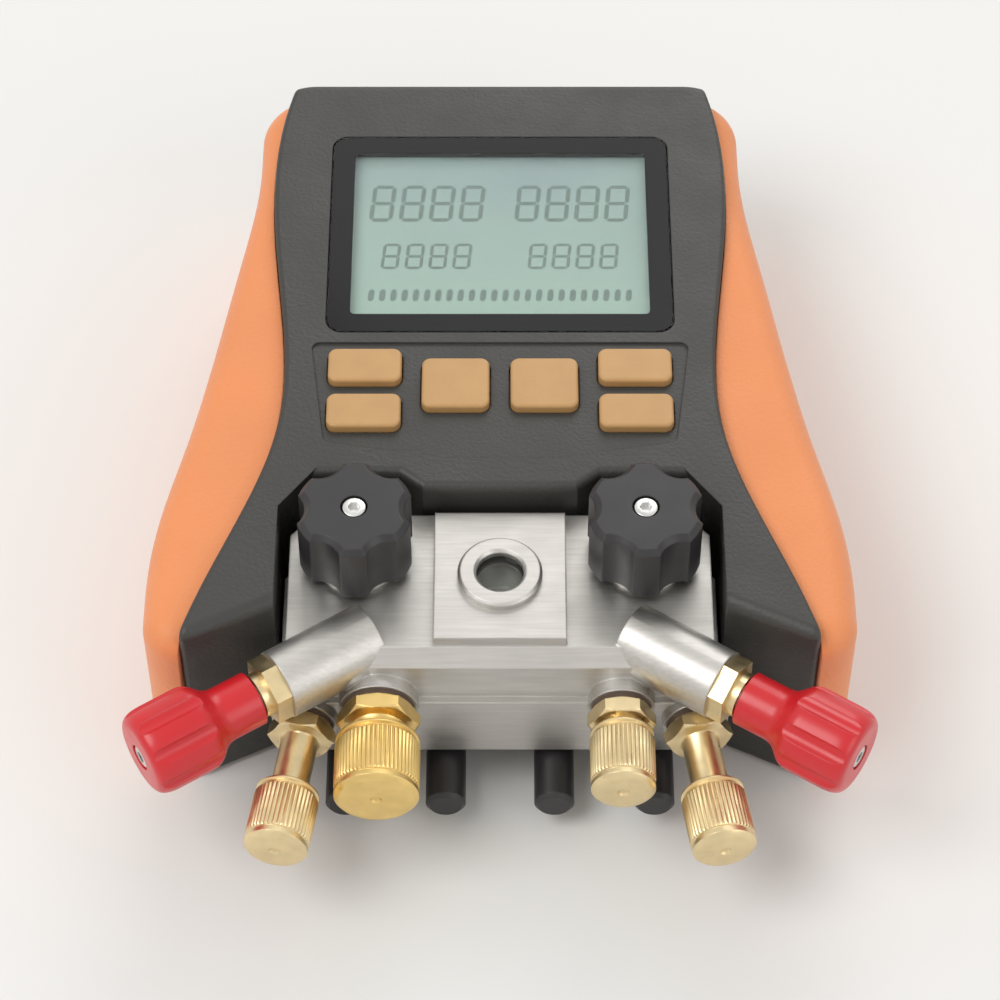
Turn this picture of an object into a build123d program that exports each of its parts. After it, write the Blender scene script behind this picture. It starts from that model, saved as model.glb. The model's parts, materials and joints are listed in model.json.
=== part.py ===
from build123d import *
from math import atan2, cos, radians, sin, sqrt, tan
import os

# Digital refrigerant manifold gauge, lying on its back, in millimetres.
# The drawing has X to the right, Y towards the top of the display, Z out of the front face,
# Z = 0 on the flat back and Y = 0 at the middle of the housing. `placed` then moves every solid
# along Y, so that the finished model stands on the centre of its footprint.

# ---------------------------------------------------------------- driving dimensions
# Outline of the front: half widths at named heights
body_top = 94.0
shoulder_y, shoulder_x = 72.0, 62.0
display_y, display_x = 37.0, 66.0
waist_y, waist_x = -22.0, 76.5
knee_y, knee_x = -67.0, 83.5
leg_root_y, leg_tip_y = -74.0, -89.0
shoulder_radius, tip_radius, straight_share = 14.0, 9.0, 0.9

# Line where the dark core meets the side grips: half widths at the same heights
core_top_x, core_display_x, core_waist_x = 53.0, 56.5, 54.0
core_knee_x, core_tip_x = 69.0, 76.0

# Depths and walls
face_z, split_z = 60.0, 28.0
grip_front_z, grip_back_z = 57.0, 0.6
wall, grip_wall = 2.6, 3.0
face_round, back_round, grip_round, core_edge_round = 3.0, 2.5, 7.0, 1.2
fit_gap, running_gap = 0.2, 0.05
seal_groove = 1.0

# Pocket for the valve block between the legs, and the lip above it
pocket_x, pocket_shoulder_y, pocket_corner_x = 52.6, -46.0, 45.0
lip_y, tongue_y, tongue_x, tongue_foot_x = -36.0, -40.5, 24.0, 18.5
lip_round = 2.0
back_plate = 4.0

# Display stack
screen_y, screen_w, screen_h, screen_corner = 41.0, 76.0, 56.0, 1.5
lens_margin, lens_thick, lens_corner = 5.0, 1.4, 4.0
lcd_margin, lcd_thick = 3.0, 3.0
backlight_margin, backlight_thick = 4.0, 2.6
board_x, board_low_y, board_rim, board_thick = 43.5, -32.0, 2.9, 1.6
chip_size, chip_height, chip_y = 14.0, 1.6, 12.0
header_w, header_h, header_height, header_y = 24.0, 6.0, 5.0, 58.0

# Keypad
key_outer_x, key_outer_w, key_outer_h = 33.0, 18.0, 10.4
key_inner_x, key_inner_w, key_inner_h = 10.8, 16.5, 15.5
key_upper_y, key_lower_y, key_inner_y = -3.6, -17.8, -9.2
key_gap, key_proud, key_travel = 0.3, 1.6, 0.8
key_flange, key_flange_thick, key_corner, key_edge = 1.0, 1.6, 2.2, 0.8
mat_x, mat_low_y, mat_high_y, mat_thick = 42.0, -25.8, 5.0, 0.7
dome_height, dome_radius = 0.8, 3.2
panel_top_x, panel_top_y, panel_low_x, panel_low_y = 46.5, 4.6, 42.5, -26.5
panel_tongue_x, panel_tongue_y, panel_depth, panel_corner = 13.0, -31.5, 0.6, 2.0

# Valve block: rail, deck and sight-glass pad
block_x, block_corner, rail_top_y, rail_low_y = 52.0, 6.0, -44.0, -86.0
rail_low_z, rail_high_z, deck_z = 16.0, 36.0, 51.0
deck_inset, deck_top_y, deck_chamfer = 2.0, -42.0, 3.6
pad_x, pad_top_y, pad_low_y, pad_height = 15.5, -43.5, -80.0, 3.0
gallery_y, gallery_z, gallery_radius = -55.0, 27.0, 2.4
plug_length, plug_radius, plug_key_flats, plug_key_depth = 7.0, 4.2, 4.0, 3.0
drill_radius, seat_radius, seat_drill_inset = 1.3, 1.8, 7.0

# Sight glass
glass_y, glass_radius, glass_thick = -62.0, 7.0, 3.5
glass_seal, glass_window_radius, glass_well = 0.8, 5.6, 9.0
glass_ring_radius, glass_ring_height = 10.0, 2.0

# Valves: vacuum and refrigerant on the deck, low and high pressure at the block's lower corners
front_valve_x, front_valve_y = 34.0, -54.0
front_boss_radius, front_boss_height = 10.5, 1.5
side_valve_x, side_valve_y, side_valve_z, side_valve_angle = 49.0, -86.0, 46.0, 33.0
side_boss_radius, side_boss_in, side_boss_out = 8.4, 22.0, 3.0

# One valve, measured from its boss face along its own axis
bonnet_flats, bonnet_hex, bonnet_collar, bonnet_thread = 14.0, 4.0, 2.0, 8.0
bonnet_collar_radius = 5.4
piston_radius, piston_length, piston_depth, valve_tip = 5.15, 7.0, 20.0, 2.4
bore_end_gap = 0.6
stem_radius = 3.0
front_knob_clear, front_knob_radius, front_knob_height = 0.8, 13.8, 17.0
front_lobes, lobe_cutter_radius, lobe_depth = 6, 6.0, 2.2
knob_wall, knob_skirt, knob_hub_radius, knob_edge = 2.4, 8.6, 5.6, 1.3
hub_gap = 1.0
side_knob_clear, side_knob_radius, side_knob_length = 0.8, 10.5, 30.0
side_sleeve_radius, side_sleeve_length, side_flare, side_dome = 6.6, 8.0, 8.0, 6.5
side_flutes, flute_cutter_radius, flute_depth = 8, 2.6, 1.1
knob_web, knob_recess, recess_gap = 1.0, 2.2, 0.4
knob_screw_head_radius, knob_screw_head, knob_screw_radius, knob_screw_length = 2.8, 2.0, 1.5, 8.0

# Ports: quarter-inch flare is 7/16-20 UNF, three-eighths flare is 5/8-18 UNF
outer_port_z, inner_port_z, port_boss_out, port_boss_rim = 30.0, 36.0, 1.6, 0.8
outer_port_x, inner_port_x, port_splay = 46.0, 28.5, 9.0
quarter_thread_radius, quarter_neck_radius, quarter_flats = 5.556, 4.4, 14.0
vacuum_thread_radius, vacuum_neck_radius, vacuum_flats = 7.938, 6.0, 17.0
side_port_length, vacuum_port_length, refrigerant_port_length = 33.5, 23.0, 21.0
port_hex, port_stub, port_stub_radius, port_bore_radius = 4.0, 9.0, 5.0, 2.4
thread_length, flare_length, flare_drop = 12.0, 3.0, 1.6
port_seal = 1.2
cap_clearance, cap_wall, cap_end, cap_cover, cap_end_gap = 0.07, 2.0, 2.0, 14.5, 0.3
cap_knurls, knurl_depth, cap_edge = 18, 0.45, 0.8

# Pressure sensors on the upper side of the block
sensor_x, sensor_z, sensor_radius, sensor_length = 32.0, 26.0, 6.0, 24.0
sensor_flats, sensor_hex, sensor_thread_radius, sensor_thread = 15.0, 5.0, 5.0, 6.0
sensor_hole_gap, sensor_tap_drop = 0.5, 4.0

# Hose parking posts under the block
park_bar_x, park_bar_depth, park_bar_high_z = 46.0, 8.6, 15.4
park_post_radius, park_post_length, park_post_z = 4.8, 24.0, 9.6
park_outer_x, park_inner_x, park_post_edge = 37.0, 13.0, 1.0

# Battery bay in the back: four cells side by side under a hinged door
cell_radius, cell_length, cell_pitch, cell_nub_radius, cell_nub = 7.1, 50.0, 14.6, 2.6, 1.0
cell_count = 4
bay_y, contact_space, bay_gap, bay_wall, bay_floor_z = 5.0, 3.0, 1.2, 1.6, 2.9
contact_thick, contact_w, contact_root_radius, contact_tip_radius = 0.5, 10.0, 3.6, 1.8
door_thick, door_gap, door_recess, door_notch_radius = 2.0, 0.35, 0.4, 7.0
door_pivot_radius, door_pin_radius, door_pin_reach = 1.2, 0.7, 1.2

# Hanging hook, folded into the back
hook_pivot_y, hook_pivot_z, hook_thick, hook_arm_x = 85.0, 5.0, 4.0, 6.0
hook_barrel_radius, hook_barrel_x, hook_pin_radius, hook_pin_reach = 3.4, 12.0, 1.5, 3.0
hook_ring_y, hook_ring_radius, hook_hole_radius, hook_edge = 56.0, 15.0, 9.8, 0.8
hook_room, hook_side_room, hook_end_room, hook_roof_room = 3.0, 0.5, 2.1, 1.1
hook_slot_gap = 1.4

# Probe sockets in the top edge, with hinged covers
socket_x, socket_z, socket_radius, socket_depth = 26.0, 40.0, 5.2, 9.0
socket_flange, socket_flange_radius, socket_cup_radius, socket_cup_depth = 1.2, 7.0, 4.0, 6.0
socket_pins, socket_pin_radius, socket_pin_circle, socket_pin_height = 4, 0.5, 2.2, 3.0
cover_radius, cover_thick, cover_plug_gap, cover_plug = 7.2, 2.0, 0.6, 1.4
cover_drop, cover_barrel_radius, cover_x, cover_gap = 8.8, 1.4, 4.0, 0.3
cover_ear, cover_pin_radius = 1.8, 0.8

# Fasteners
boss_radius, boss_rim, screw_gap = 3.6, 1.3, 0.2
housing_screw_radius, housing_head_radius, housing_head = 1.5, 2.9, 2.4
housing_sink, housing_bite = 4.0, 10.0
screw_top_x, screw_top_y = 45.0, 85.0
screw_waist_x, screw_waist_y = 48.5, -27.0
screw_leg_x, screw_leg_y = 58.6, -62.0
block_screw_radius, block_head_radius, block_head, block_sink, block_bite = 2.0, 3.6, 2.6, 3.2, 6.0
block_boss_radius = 5.4
block_upper_x, block_upper_y, block_lower_x, block_lower_y = 42.0, -49.4, 20.0, -59.0
board_screw_radius, board_head_radius, board_head, board_bite = 1.1, 2.0, 1.4, 4.0
board_screw_x, board_screw_low_y, board_screw_gap, board_boss_radius = 34.0, -28.9, 0.7, 2.2

# ---------------------------------------------------------------- values that follow from them
inner_face_z = face_z - wall
lens_w = screen_w + 2 * lens_margin
lens_h = screen_h + 2 * lens_margin
lcd_high_z = inner_face_z - fit_gap
lcd_low_z = lcd_high_z - lcd_thick
board_high_z = lcd_low_z - backlight_thick
board_low_z = board_high_z - board_thick
backlight_high_y = screen_y + screen_h / 2 + backlight_margin
board_screw_high_y = backlight_high_y + board_screw_gap + board_boss_radius
board_high_y = board_screw_high_y + board_rim
mat_high_z = board_high_z + mat_thick
key_low_z = mat_high_z + dome_height + key_travel + fit_gap
key_flange_high_z = inner_face_z - key_gap
key_places = {
    "key_left_upper": (-key_outer_x, key_upper_y, key_outer_w, key_outer_h),
    "key_left_lower": (-key_outer_x, key_lower_y, key_outer_w, key_outer_h),
    "key_centre_left": (-key_inner_x, key_inner_y, key_inner_w, key_inner_h),
    "key_centre_right": (key_inner_x, key_inner_y, key_inner_w, key_inner_h),
    "key_right_upper": (key_outer_x, key_upper_y, key_outer_w, key_outer_h),
    "key_right_lower": (key_outer_x, key_lower_y, key_outer_w, key_outer_h),
}

bay_half_x = (cell_count - 1) / 2 * cell_pitch + cell_radius + bay_gap
bay_half_y = cell_length / 2 + contact_space
bay_low_y, bay_high_y = bay_y - bay_half_y, bay_y + bay_half_y
bay_roof_z = bay_floor_z + 2 * cell_radius + fit_gap
cell_z = bay_floor_z + cell_radius
cell_places = [(i - (cell_count - 1) / 2) * cell_pitch for i in range(cell_count)]
door_pivot_y = bay_low_y + door_gap + door_pivot_radius
door_pivot_z = door_recess + door_pivot_radius

hook_low_y = hook_ring_y - hook_ring_radius - hook_room
hook_neck_y = hook_pivot_y - hook_barrel_radius - hook_room
hook_high_y = hook_pivot_y + hook_barrel_radius + hook_end_room
hook_roof_z = hook_pivot_z + hook_barrel_radius + hook_roof_room
hook_half_x = hook_ring_radius + hook_room
hook_neck_x = hook_barrel_x + hook_side_room

cover_low_y = body_top + cover_gap
cover_pivot_y = cover_low_y + cover_barrel_radius
cover_pivot_z = socket_z - cover_drop
ear_high_y = cover_pivot_y + cover_barrel_radius + cover_gap

bonnet_high = bonnet_hex + bonnet_collar
side_knob_low = bonnet_high + side_knob_clear
front_knob_high = front_knob_clear + front_knob_height
side_knob_high = side_knob_low + side_knob_length
bore_radius = piston_radius + running_gap
bore_depth = piston_depth + valve_tip + bore_end_gap
hex_high = port_seal + port_hex

SIDES = {"left": -1, "right": 1}
housing_screw_places = [
    (side * x, y)
    for side in SIDES.values()
    for x, y in (
        (screw_top_x, screw_top_y),
        (screw_waist_x, screw_waist_y),
        (screw_leg_x, screw_leg_y),
    )
]
block_screw_places = [
    (side * x, y)
    for side in SIDES.values()
    for x, y in ((block_upper_x, block_upper_y), (block_lower_x, block_lower_y))
]
board_screw_places = [
    (side * board_screw_x, y)
    for side in SIDES.values()
    for y in (board_screw_low_y, board_screw_high_y)
]


# ---------------------------------------------------------------- helpers
def box(x0, x1, y0, y1, z0, z1):
    return Pos((x0 + x1) / 2, (y0 + y1) / 2, (z0 + z1) / 2) * Box(x1 - x0, y1 - y0, z1 - z0)


def disc(radius, z0, z1):
    """A cylinder on the local Z axis from z0 to z1."""
    return Pos(0, 0, (z0 + z1) / 2) * Cylinder(radius, z1 - z0)


def ring(outer, inner, z0, z1):
    return disc(outer, z0, z1) - disc(inner, z0 - 1, z1 + 1)


def hexagon(flats, z0, z1):
    """A hexagonal prism with two of its flats facing along local Y."""
    return extrude(Pos(0, 0, z0) * RegularPolygon(flats / 2, 6, major_radius=False), z1 - z0)


def slab(plan, z0, z1):
    """A plan drawn on XY, extruded from z0 to z1."""
    return extrude(Pos(0, 0, z0) * plan, z1 - z0)


def rounded_box(x, y, w, h, z0, z1, corner):
    return slab(Pos(x, y) * RectangleRounded(w, h, corner), z0, z1)


def revolved(*edges):
    """A solid of revolution about the local Z axis from edges drawn in its XZ plane."""
    return revolve(make_face(Curve(children=list(edges)).edges()), Axis.Z)


def turned(*points):
    """A turned part from its corner points (radius, height)."""
    return revolve(make_face(Polyline(*[(r, 0, z) for r, z in points], close=True)), Axis.Z)


def along_x(radius, x0, x1, y, z):
    return Pos((x0 + x1) / 2, y, z) * Rot(0, 90, 0) * Cylinder(radius, x1 - x0)


def along_y(radius, y0, y1, x, z):
    return Pos(x, (y0 + y1) / 2, z) * Rot(90, 0, 0) * Cylinder(radius, y1 - y0)


def drilled(start, end, radius):
    """The hole that a straight drill leaves between two points."""
    way = Vector(*end) - Vector(*start)
    return Plane(origin=start, z_dir=way).location * disc(radius, 0, way.length)


def outline_edges(solid, z):
    """The edges of a solid's flat face at height z."""
    return solid.edges().filter_by_position(Axis.Z, z - 0.001, z + 0.001)


# ---------------------------------------------------------------- plans of the housing
def silhouette_plan(inset=0.0):
    """The front outline: shoulders, swept sides and slanted leg ends, moved inwards by `inset`."""
    leg_slope = (leg_root_y - leg_tip_y) / (knee_x - pocket_x)
    leg_rise = inset * sqrt(1 + leg_slope**2)
    top, shoulder, knee = body_top - inset, shoulder_x - inset, knee_x - inset
    root = leg_root_y + leg_rise
    tip = leg_tip_y + leg_rise + leg_slope * inset
    side = Spline(
        (shoulder, shoulder_y),
        (display_x - inset, display_y),
        (waist_x - inset, waist_y),
        (knee, knee_y),
        tangents=[(0, -1), (0, -1)],
    )
    line = [
        Line((0, top), (shoulder, top)),
        Line((shoulder, top), (shoulder, shoulder_y)),
        side,
        Line((knee, knee_y), (knee, tip)),
        Line((knee, tip), (pocket_x, root)),
        Line((pocket_x, root), (0, root)),
        Line((0, root), (0, top)),
    ]
    half = make_face(Curve(children=line).edges())
    shoulder_round = min(shoulder_radius, straight_share * (body_top - shoulder_y)) - inset
    half = fillet(half.vertices().sort_by_distance((shoulder_x, body_top, 0))[0], shoulder_round)
    corner = atan2(knee_x - pocket_x, leg_root_y - leg_tip_y)
    tip_round = min(tip_radius - inset, straight_share * (knee_y - leg_tip_y) * tan(corner / 2))
    half = fillet(half.vertices().sort_by_distance((knee_x, leg_tip_y, 0))[0], tip_round)
    return half + mirror(half, about=Plane.YZ)


def core_side_plan(inset=0.0):
    """Everything inside the line where the core meets the grips, less `inset`."""
    side = Spline(
        (core_top_x - inset, body_top),
        (core_display_x - inset, display_y),
        (core_waist_x - inset, waist_y),
        (core_knee_x - inset, knee_y),
        (core_tip_x - inset, leg_tip_y),
    )
    line = [
        Line((0, body_top), (core_top_x - inset, body_top)),
        side,
        Line((core_tip_x - inset, leg_tip_y), (0, leg_tip_y)),
        Line((0, leg_tip_y), (0, body_top)),
    ]
    half = make_face(Curve(children=line).edges())
    return half + mirror(half, about=Plane.YZ)


def pocket_plan(grow=0.0):
    """The bay between the legs that holds the valve block, with the lip's central tongue."""
    right = [
        (pocket_x + grow, 2 * leg_tip_y),
        (pocket_x + grow, pocket_shoulder_y + grow / 2),
        (pocket_corner_x + grow / 2, lip_y + grow),
        (tongue_x, lip_y + grow),
        (tongue_foot_x, tongue_y + grow),
    ]
    left = [(-x, y) for x, y in reversed(right)]
    return make_face(Polyline(*right, *left, close=True))


def core_plan(inset=0.0):
    """The core between the grips and around the pocket, moved inwards by `inset` all round."""
    return (silhouette_plan(inset) & core_side_plan(inset)) - pocket_plan(inset)


def rounded_core(z0, z1, round_z, radius):
    """The core from z0 to z1, with its outer edge rounded at round_z."""
    body = slab(silhouette_plan(), z0, z1)
    body = fillet(outline_edges(body, round_z), radius)
    return body & slab(core_side_plan(), z0, z1)


# ---------------------------------------------------------------- housing
def panel_plan():
    """The sunk keypad panel, which narrows towards the tongue."""
    right = [
        (panel_top_x, panel_top_y),
        (panel_low_x, panel_low_y),
        (panel_tongue_x, panel_tongue_y),
    ]
    left = [(-x, y) for x, y in reversed(right)]
    plan = make_face(Polyline(*right, *left, close=True))
    return fillet(plan.vertices(), panel_corner)


def cover_ears():
    """The two ears beside each socket that carry its cover's pins."""
    half_z = cover_barrel_radius + cover_gap
    inner = cover_x + cover_gap
    ears = []
    for x in (-socket_x, socket_x):
        for side in SIDES.values():
            x0, x1 = sorted((x + side * inner, x + side * (inner + cover_ear)))
            low_z, high_z = cover_pivot_z - half_z, cover_pivot_z + half_z
            ear = box(x0, x1, body_top - wall / 2, ear_high_y, low_z, high_z)
            ear -= along_x(cover_pin_radius + running_gap, x0 - 1, x1 + 1, cover_pivot_y, cover_pivot_z)
            ears.append(ear)
    return ears


def wall_holes():
    """Holes for the probe sockets and the pressure sensors, through the walls of both shells."""
    holes = []
    for side in SIDES.values():
        holes.append(
            along_y(socket_radius + fit_gap, body_top - 2 * wall, body_top + wall, side * socket_x, socket_z)
        )
        low, high = lip_y - wall, lip_y + 2 * wall
        holes.append(along_y(sensor_radius + sensor_hole_gap, low, high, side * sensor_x, sensor_z))
    return holes


def front_housing():
    shell = rounded_core(split_z, face_z, face_z, face_round)
    shell -= slab(pocket_plan(), split_z - 1, face_z + 1)
    lip = [e for e in outline_edges(shell, face_z) if tongue_y - 1 < e.center().Y < lip_y + 1]
    shell = fillet([e for e in lip if abs(e.center().X) < pocket_corner_x], lip_round)
    sides = outline_edges(shell, face_z).filter_by(GeomType.BSPLINE)
    shell = fillet(sides, core_edge_round)
    shell -= slab(core_plan(wall), split_z - 1, inner_face_z)
    for x, y in housing_screw_places:
        shell += Pos(x, y) * disc(boss_radius, split_z, inner_face_z)
    for x, y in board_screw_places:
        shell += Pos(x, y) * disc(board_boss_radius, board_high_z, inner_face_z)
    shell += cover_ears()

    recess_z = face_z - lens_thick
    gap = 2 * fit_gap
    shell -= rounded_box(0, screen_y, screen_w, screen_h, inner_face_z - 1, face_z, screen_corner)
    shell -= rounded_box(
        0, screen_y, lens_w + gap, lens_h + gap, recess_z, face_z + 1, lens_corner + fit_gap
    )
    shell -= slab(panel_plan(), face_z - panel_depth, face_z + 1)
    for x, y, w, h in key_places.values():
        corner = key_corner + key_gap
        hole_w, hole_h = w + 2 * key_gap, h + 2 * key_gap
        shell -= rounded_box(x, y, hole_w, hole_h, inner_face_z - 1, face_z, corner)
    for x, y in housing_screw_places:
        pilot = housing_screw_radius + running_gap
        shell -= Pos(x, y) * disc(pilot, split_z - 1, split_z + housing_bite + 1)
    for x, y in board_screw_places:
        pilot = board_screw_radius + running_gap
        shell -= Pos(x, y) * disc(pilot, board_high_z - 1, board_high_z + board_bite + fit_gap)
    return shell - wall_holes()


def battery_bay_outside():
    x, y0, y1 = bay_half_x + bay_wall, bay_low_y - bay_wall, bay_high_y + bay_wall
    return box(-x, x, y0, y1, 0, bay_roof_z + bay_wall)


def battery_bay_inside():
    space = box(-bay_half_x, bay_half_x, bay_low_y, bay_high_y, -1, bay_roof_z)
    reach = bay_half_x + bay_wall + 1
    space += along_x(door_pin_radius + running_gap, -reach, reach, door_pivot_y, door_pivot_z)
    notch_y = bay_high_y - door_notch_radius / 2
    return space + Pos(0, notch_y) * disc(door_notch_radius, -1, door_recess + door_thick / 2)


def hook_pocket_outside():
    x = hook_half_x + bay_wall
    return box(-x, x, hook_low_y - bay_wall, hook_high_y + bay_wall, 0, hook_roof_z + bay_wall)


def hook_pocket_inside():
    """Room for the ring and the barrel, the bores for the pin, and the slot through the top wall."""
    space = box(-hook_half_x, hook_half_x, hook_low_y, hook_neck_y, -1, hook_roof_z)
    space += box(-hook_neck_x, hook_neck_x, hook_neck_y - 1, hook_high_y, -1, hook_roof_z)
    slot_x = hook_arm_x + hook_slot_gap
    slot_z = hook_pivot_z + hook_thick / 2 + cover_gap + fit_gap
    space += box(-slot_x, slot_x, hook_pivot_y, body_top + 1, -1, slot_z)
    reach = hook_half_x + bay_wall + 1
    return space + along_x(hook_pin_radius + running_gap, -reach, reach, hook_pivot_y, hook_pivot_z)


def rear_housing():
    shell = rounded_core(0, split_z, 0, back_round)
    shell -= slab(pocket_plan(), back_plate, split_z + 1)
    shell -= slab(core_plan(wall), wall, split_z + 1)
    groove = core_plan((wall - seal_groove) / 2) - core_plan((wall + seal_groove) / 2)
    shell -= slab(groove, split_z - seal_groove, split_z + 1)
    shell += battery_bay_outside()
    shell += hook_pocket_outside()
    rim = housing_head_radius + screw_gap + boss_rim
    for x, y in housing_screw_places:
        shell += Pos(x, y) * disc(rim, 0, housing_sink + wall)
        shell += Pos(x, y) * disc(boss_radius, 0, split_z)
    for x, y in block_screw_places:
        shell += Pos(x, y) * disc(block_boss_radius, 0, rail_low_z)

    for x, y in housing_screw_places:
        shell -= Pos(x, y) * disc(housing_head_radius + screw_gap, -1, housing_sink)
        shell -= Pos(x, y) * disc(housing_screw_radius + screw_gap, 0, split_z + 1)
    for x, y in block_screw_places:
        shell -= Pos(x, y) * disc(block_head_radius + screw_gap, -1, block_sink)
        shell -= Pos(x, y) * disc(block_screw_radius + screw_gap, 0, rail_low_z + 1)
    shell -= battery_bay_inside()
    shell -= hook_pocket_inside()
    return shell - wall_holes()


def housing_seal():
    """The cord in the groove, cut where the sensors cross it."""
    plan = core_plan((wall - seal_groove) / 2) - core_plan((wall + seal_groove) / 2)
    return slab(plan, split_z - seal_groove, split_z) - wall_holes()


def side_grip(side):
    """A soft grip: a rounded shell, hollow behind and open towards the core."""
    body = slab(silhouette_plan(), grip_back_z, grip_front_z)
    body = fillet(outline_edges(body, grip_back_z) + outline_edges(body, grip_front_z), grip_round)
    room = slab(silhouette_plan(grip_wall), grip_back_z + grip_wall, grip_front_z - grip_wall)
    body -= room
    body -= slab(core_side_plan(-fit_gap), -1, face_z)
    half = box(0, knee_x + 1, 2 * leg_tip_y, body_top + 1, -1, face_z)
    grip = body & half
    return grip if side > 0 else mirror(grip, about=Plane.YZ)


# ---------------------------------------------------------------- display and keypad
def display_lens():
    return rounded_box(0, screen_y, lens_w, lens_h, face_z - lens_thick, face_z, lens_corner)


def lcd_panel():
    w, h = screen_w + 2 * lcd_margin, screen_h + 2 * lcd_margin
    return rounded_box(0, screen_y, w, h, lcd_low_z, lcd_high_z, screen_corner)


def backlight():
    w, h = screen_w + 2 * backlight_margin, screen_h + 2 * backlight_margin
    return rounded_box(0, screen_y, w, h, board_high_z, lcd_low_z, screen_corner)


def circuit_board():
    board = box(-board_x, board_x, board_low_y, board_high_y, board_low_z, board_high_z)
    half = chip_size / 2
    board += box(-half, half, chip_y - half, chip_y + half, board_low_z - chip_height, board_low_z)
    half_w, half_h = header_w / 2, header_h / 2
    board += box(
        -half_w, half_w, header_y - half_h, header_y + half_h, board_low_z - header_height, board_low_z
    )
    for x, y in board_screw_places:
        board -= Pos(x, y) * disc(board_screw_radius + screw_gap, board_low_z - 1, board_high_z + 1)
    return board


def board_screws():
    screws = []
    for x, y in board_screw_places:
        shank = disc(board_screw_radius, board_low_z, board_high_z + board_bite)
        head = disc(board_head_radius, board_low_z - board_head, board_low_z)
        screws.append(Pos(x, y) * (shank + head))
    return screws


def key_mat():
    mat = box(-mat_x, mat_x, mat_low_y, mat_high_y, board_high_z, mat_high_z)
    for x, y, _, _ in key_places.values():
        mat += Pos(x, y) * disc(dome_radius, mat_high_z, mat_high_z + dome_height)
    return mat


def key(x, y, w, h):
    """A key cap with a flange that keeps it under the face."""
    high = face_z + key_proud
    cap = rounded_box(x, y, w, h, key_low_z, high, key_corner)
    cap = fillet(outline_edges(cap, high), key_edge)
    corner = key_corner + key_flange
    w, h = w + 2 * key_flange, h + 2 * key_flange
    low = key_flange_high_z - key_flange_thick
    return cap + rounded_box(x, y, w, h, low, key_flange_high_z, corner)


# ---------------------------------------------------------------- batteries, door and hook
def cell(x, upright):
    """One cell along Y, with its nub towards +Y if upright."""
    body = disc(cell_radius, 0, cell_length - cell_nub)
    body += disc(cell_nub_radius, cell_length - cell_nub, cell_length)
    turn = Rot(-90, 0, 0) if upright else Rot(90, 0, 0)
    start = bay_y - cell_length / 2 if upright else bay_y + cell_length / 2
    return Pos(x, start, cell_z) * turn * body


def batteries():
    return [cell(x, i % 2 == 0) for i, x in enumerate(cell_places)]


def battery_contacts():
    """A plate with a cone at both ends of each cell."""
    contacts = []
    half = contact_w / 2
    for x in cell_places:
        for end, turn in ((bay_low_y, Rot(-90, 0, 0)), (bay_high_y, Rot(90, 0, 0))):
            plate = box(-half, half, -half, half, 0, contact_thick)
            cone = turned(
                (0, contact_thick),
                (contact_root_radius, contact_thick),
                (contact_tip_radius, contact_space),
                (0, contact_space),
            )
            contacts.append(Pos(x, end, cell_z) * turn * (plate + cone))
    return contacts


def battery_door():
    x = bay_half_x - door_gap
    high_y = bay_high_y - door_gap
    door = box(-x, x, door_pivot_y, high_y, door_recess, door_recess + door_thick)
    door += along_x(door_pivot_radius, -x, x, door_pivot_y, door_pivot_z)
    reach = bay_half_x + door_pin_reach
    return door + along_x(door_pin_radius, -reach, reach, door_pivot_y, door_pivot_z)


def hook():
    """The hanging ring, its arm and the barrel that turns on the pin."""
    low_z, high_z = hook_pivot_z - hook_thick / 2, hook_pivot_z + hook_thick / 2
    body = Pos(0, hook_ring_y) * disc(hook_ring_radius, low_z, high_z)
    body += box(-hook_arm_x, hook_arm_x, hook_ring_y, hook_pivot_y, low_z, high_z)
    body = chamfer(outline_edges(body, low_z) + outline_edges(body, high_z), hook_edge)
    body += along_x(hook_barrel_radius, -hook_barrel_x, hook_barrel_x, hook_pivot_y, hook_pivot_z)
    body -= Pos(0, hook_ring_y) * disc(hook_hole_radius, low_z - 1, high_z + 1)
    reach = hook_barrel_x + 1
    return body - along_x(hook_pin_radius + running_gap, -reach, reach, hook_pivot_y, hook_pivot_z)


def hook_pin():
    reach = hook_neck_x + hook_pin_reach
    return along_x(hook_pin_radius, -reach, reach, hook_pivot_y, hook_pivot_z)


# ---------------------------------------------------------------- valves
def side_direction(side):
    """The way in which a side valve points: outwards, and down towards the ports."""
    angle = radians(side_valve_angle)
    return Vector(side * cos(angle), -sin(angle), 0)


def front_valve_seat(side):
    place = (side * front_valve_x, front_valve_y, deck_z + front_boss_height)
    return Plane(origin=place, x_dir=(1, 0, 0), z_dir=(0, 0, 1)).location


def side_valve_seat(side):
    way = side_direction(side)
    place = Vector(side * side_valve_x, side_valve_y, side_valve_z) + way * side_boss_out
    return Plane(origin=place, x_dir=(0, 0, 1), z_dir=way).location


valve_seats = {
    "low": side_valve_seat(-1),
    "high": side_valve_seat(1),
    "vacuum": front_valve_seat(-1),
    "refrigerant": front_valve_seat(1),
}


def is_side(name):
    return name in ("low", "high")


def knob_high(name):
    return side_knob_high if is_side(name) else front_knob_high


def stem_high(name):
    """The stem ends under the web that the knob's screw clamps."""
    return knob_high(name) - knob_recess - knob_web


def valve_bonnets():
    bonnets = []
    for seat in valve_seats.values():
        bonnet = disc(piston_radius, -bonnet_thread, 0)
        bonnet += hexagon(bonnet_flats, 0, bonnet_hex)
        bonnet += disc(bonnet_collar_radius, bonnet_hex, bonnet_high)
        bonnet -= disc(stem_radius + running_gap, -bonnet_thread - 1, bonnet_high + 1)
        bonnets.append(seat * bonnet)
    return bonnets


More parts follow.
